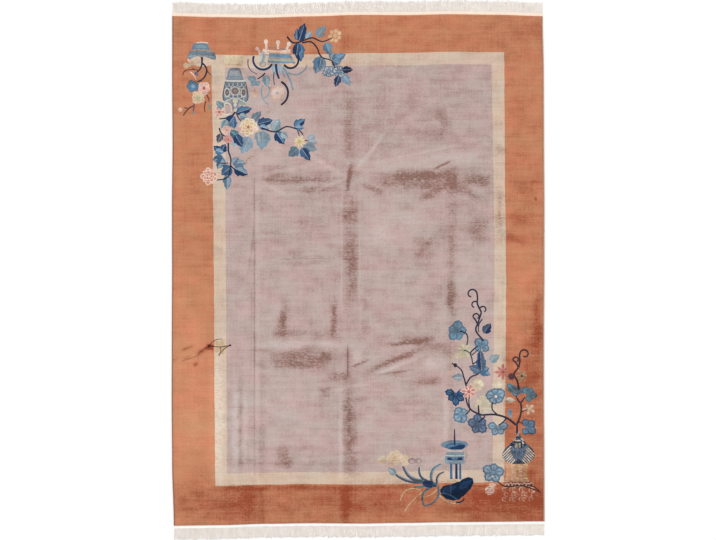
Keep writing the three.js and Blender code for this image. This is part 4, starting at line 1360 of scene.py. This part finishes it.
fringe_cotton = white_cotton("fringe_cotton_yarn", "cotton", True)
web_pieces, fringe_pieces = [], []
for name, end in (("upper", 1), ("lower", -1)):
    # The woven web: ribs along the width, an upright edge at each side.
    profile = [(0.0, LEAST_HEIGHT), (0.0, WEB_EDGE)]
    for i in range(WEFT_RIBS * 2 + 1):
        profile.append((WEB_WIDTH * (i + 0.5) / (WEFT_RIBS * 2 + 2), WEB_RIDGE if i % 2 else WEB_GROOVE))
    profile += [(WEB_WIDTH - SEAM_GAP, WEB_EDGE), (WEB_WIDTH - SEAM_GAP, LEAST_HEIGHT)]
    mesh_points, mesh_faces, web_tones = [], [], []
    for i in range(WEB_COLUMNS + 1):
        x = -HALF_WIDTH + RUG_WIDTH * i / WEB_COLUMNS
        for out, height in profile:
            mesh_points.append((*laid(x, end * (WEB_START + out)), height))
            # Within 2 mm of the pile the web is painted darker, as painted shade under the pile's edge;
            # beyond, its tone varies at random.
            web_tones.append(-0.2 if out < 0.002 else 0.1 * noise.noise((x * 9, out * 90, end)))
    high = len(profile)
    for i in range(WEB_COLUMNS):
        for k in range(high - 1):
            a = i * high + k
            face = [a, a + high, a + high + 1, a + 1]
            mesh_faces.append(face if end > 0 else face[::-1])
    web_cotton = white_cotton(f"web_{name}_cotton", "web" if end > 0 else "bleached", False)
    web = finished(f"web_{name}", mesh_points, mesh_faces, web_cotton, "fringe_cotton", f"fringe_{name}")
    toned(web, web_tones)
    web_pieces.append(web)

    # The locks: each yarn strays a little inside its lock and thins towards its end.
    rng = random.Random(57 + end)
    pitch = RUG_WIDTH / STRANDS_PER_END
    mesh_points, mesh_faces, lock_tones = [], [], []
    for i in range(STRANDS_PER_END):
        root = -HALF_WIDTH + (i + 0.5) * pitch
        lean = (repeatable(i, end + 2) * 2 - 1) * STRAND_LEAN
        sway = (repeatable(i, end + 8) * 2 - 1) * STRAND_LEAN * 0.6
        length = FRINGE_LENGTH - repeatable(i, end + 5) * STRAND_SHORTFALL
        lock_tone = rng.uniform(-0.12, 0.05)
        for k in range(YARNS_PER_LOCK):
            off = (k - (YARNS_PER_LOCK - 1) / 2) * YARN_SPACING
            reach = length - (rng.uniform(0, YARN_SHORTFALL) if k else 0.0)
            crimp, phase = rng.uniform(0.0003, 0.0012), rng.uniform(0, math.tau)
            lift = rng.uniform(0.0012, 0.0018)
            yarn_tone = lock_tone + rng.uniform(-0.08, 0.06)
            first = len(mesh_points)
            for step in range(YARN_STEPS):
                t = step / (YARN_STEPS - 1)
                bow = math.sin(math.pi * t) * sway * 1.4 + lean * t * t
                stray = crimp * math.sin(phase + t * 7.0) * min(t * 3, 1)
                x = root + off * (1 - 0.10 * t) + bow + stray
                y = end * (WEB_END - YARN_ROOT + reach * t)
                half = YARN_HALF_WIDTH * (1 - 0.3 * t**3)
                there = laid(x, y)
                for side, up in ((-1, 0.0), (0, 0.75), (1, 0.0), (0, -0.75)):
                    height = max(lift + up * half, LEAST_HEIGHT)
                    mesh_points.append((there[0] + side * half, there[1], height))
                    # Each yarn's sides are painted a little darker than its top and underside, as painted
                    # shade.
                    lock_tones.append(yarn_tone - 0.05 * (side != 0))
            for step in range(YARN_STEPS - 1):
                for side in range(4):
                    a, b = first + step * 4 + side, first + step * 4 + (side + 1) % 4
                    face = [a, a + 4, b + 4, b]
                    mesh_faces.append(face if end > 0 else face[::-1])
            tip = first + (YARN_STEPS - 1) * 4
            cap = [tip, tip + 1, tip + 2, tip + 3]
            mesh_faces.append(cap if end < 0 else cap[::-1])
    locks = finished(f"fringe_{name}_locks", mesh_points, mesh_faces, fringe_cotton, "fringe_cotton",
                     f"fringe_{name}")
    toned(locks, lock_tones)
    fringe_pieces.append(locks)


# The floor, light and camera: a pale studio floor under soft even light, seen from straight above
# with a 50 mm lens, so that one square of the chart is one element of the picture.
PICTURE_WIDTH = 716
LENS, SENSOR = 50.0, 36.0
EYE_HEIGHT = PICTURE_WIDTH * SQUARE * LENS / SENSOR
AIM_X, AIM_Y = -0.0014, -0.0036
FLOOR_REACH = 30
FLOOR_DROP = 0.0004  # keeps the floor just clear of the rug's flat underside
SKY_STRENGTH, WINDOW_STRENGTH, WINDOW_SPREAD = 0.78, 1.45, 25
WINDOW_TURN = (-38, -22, 0)

floor_finish = Finish("pale_floor", 0.95, 0.0)
floor_grain = floor_finish.cloudy((3, 3, 3), 2.0) + 0.5
floor_finish.feed("Base Color", floor_finish.mixed(floor_grain, (0.90, 0.90, 0.90, 1), (0.93, 0.93, 0.93, 1)))
floor_mesh = bpy.data.meshes.new("floor")
floor_corners = [(x * FLOOR_REACH, y * FLOOR_REACH, 0) for x, y in ((-1, -1), (1, -1), (1, 1), (-1, 1))]
floor_mesh.from_pydata(floor_corners, [], [[0, 1, 2, 3]])
floor_mesh.materials.append(floor_finish.material)
floor = bpy.data.objects.new("floor", floor_mesh)
floor.location.z = -FLOOR_DROP
bpy.context.collection.objects.link(floor)

world = bpy.data.worlds.new("studio")
world.use_nodes = True
world.node_tree.nodes["Background"].inputs["Color"].default_value = (1.0, 1.0, 1.0, 1.0)
world.node_tree.nodes["Background"].inputs["Strength"].default_value = SKY_STRENGTH
bpy.context.scene.world = world
window = bpy.data.lights.new("soft_window", "SUN")
window.energy = WINDOW_STRENGTH
window.angle = math.radians(WINDOW_SPREAD)
window_lamp = bpy.data.objects.new("soft_window", window)
window_lamp.rotation_euler = [math.radians(turn) for turn in WINDOW_TURN]
bpy.context.collection.objects.link(window_lamp)

camera_data = bpy.data.cameras.new("camera")
camera_data.lens = LENS
camera_data.sensor_width = SENSOR
camera_data.clip_end = 2 * FLOOR_REACH
camera = bpy.data.objects.new("camera", camera_data)
camera.location = (MOVED_X + AIM_X, MOVED_Y + AIM_Y, EYE_HEIGHT + PILE_HEIGHT)
bpy.context.collection.objects.link(camera)
bpy.context.scene.camera = camera
bpy.context.scene.view_settings.view_transform = "Standard"

bpy.context.view_layer.update()
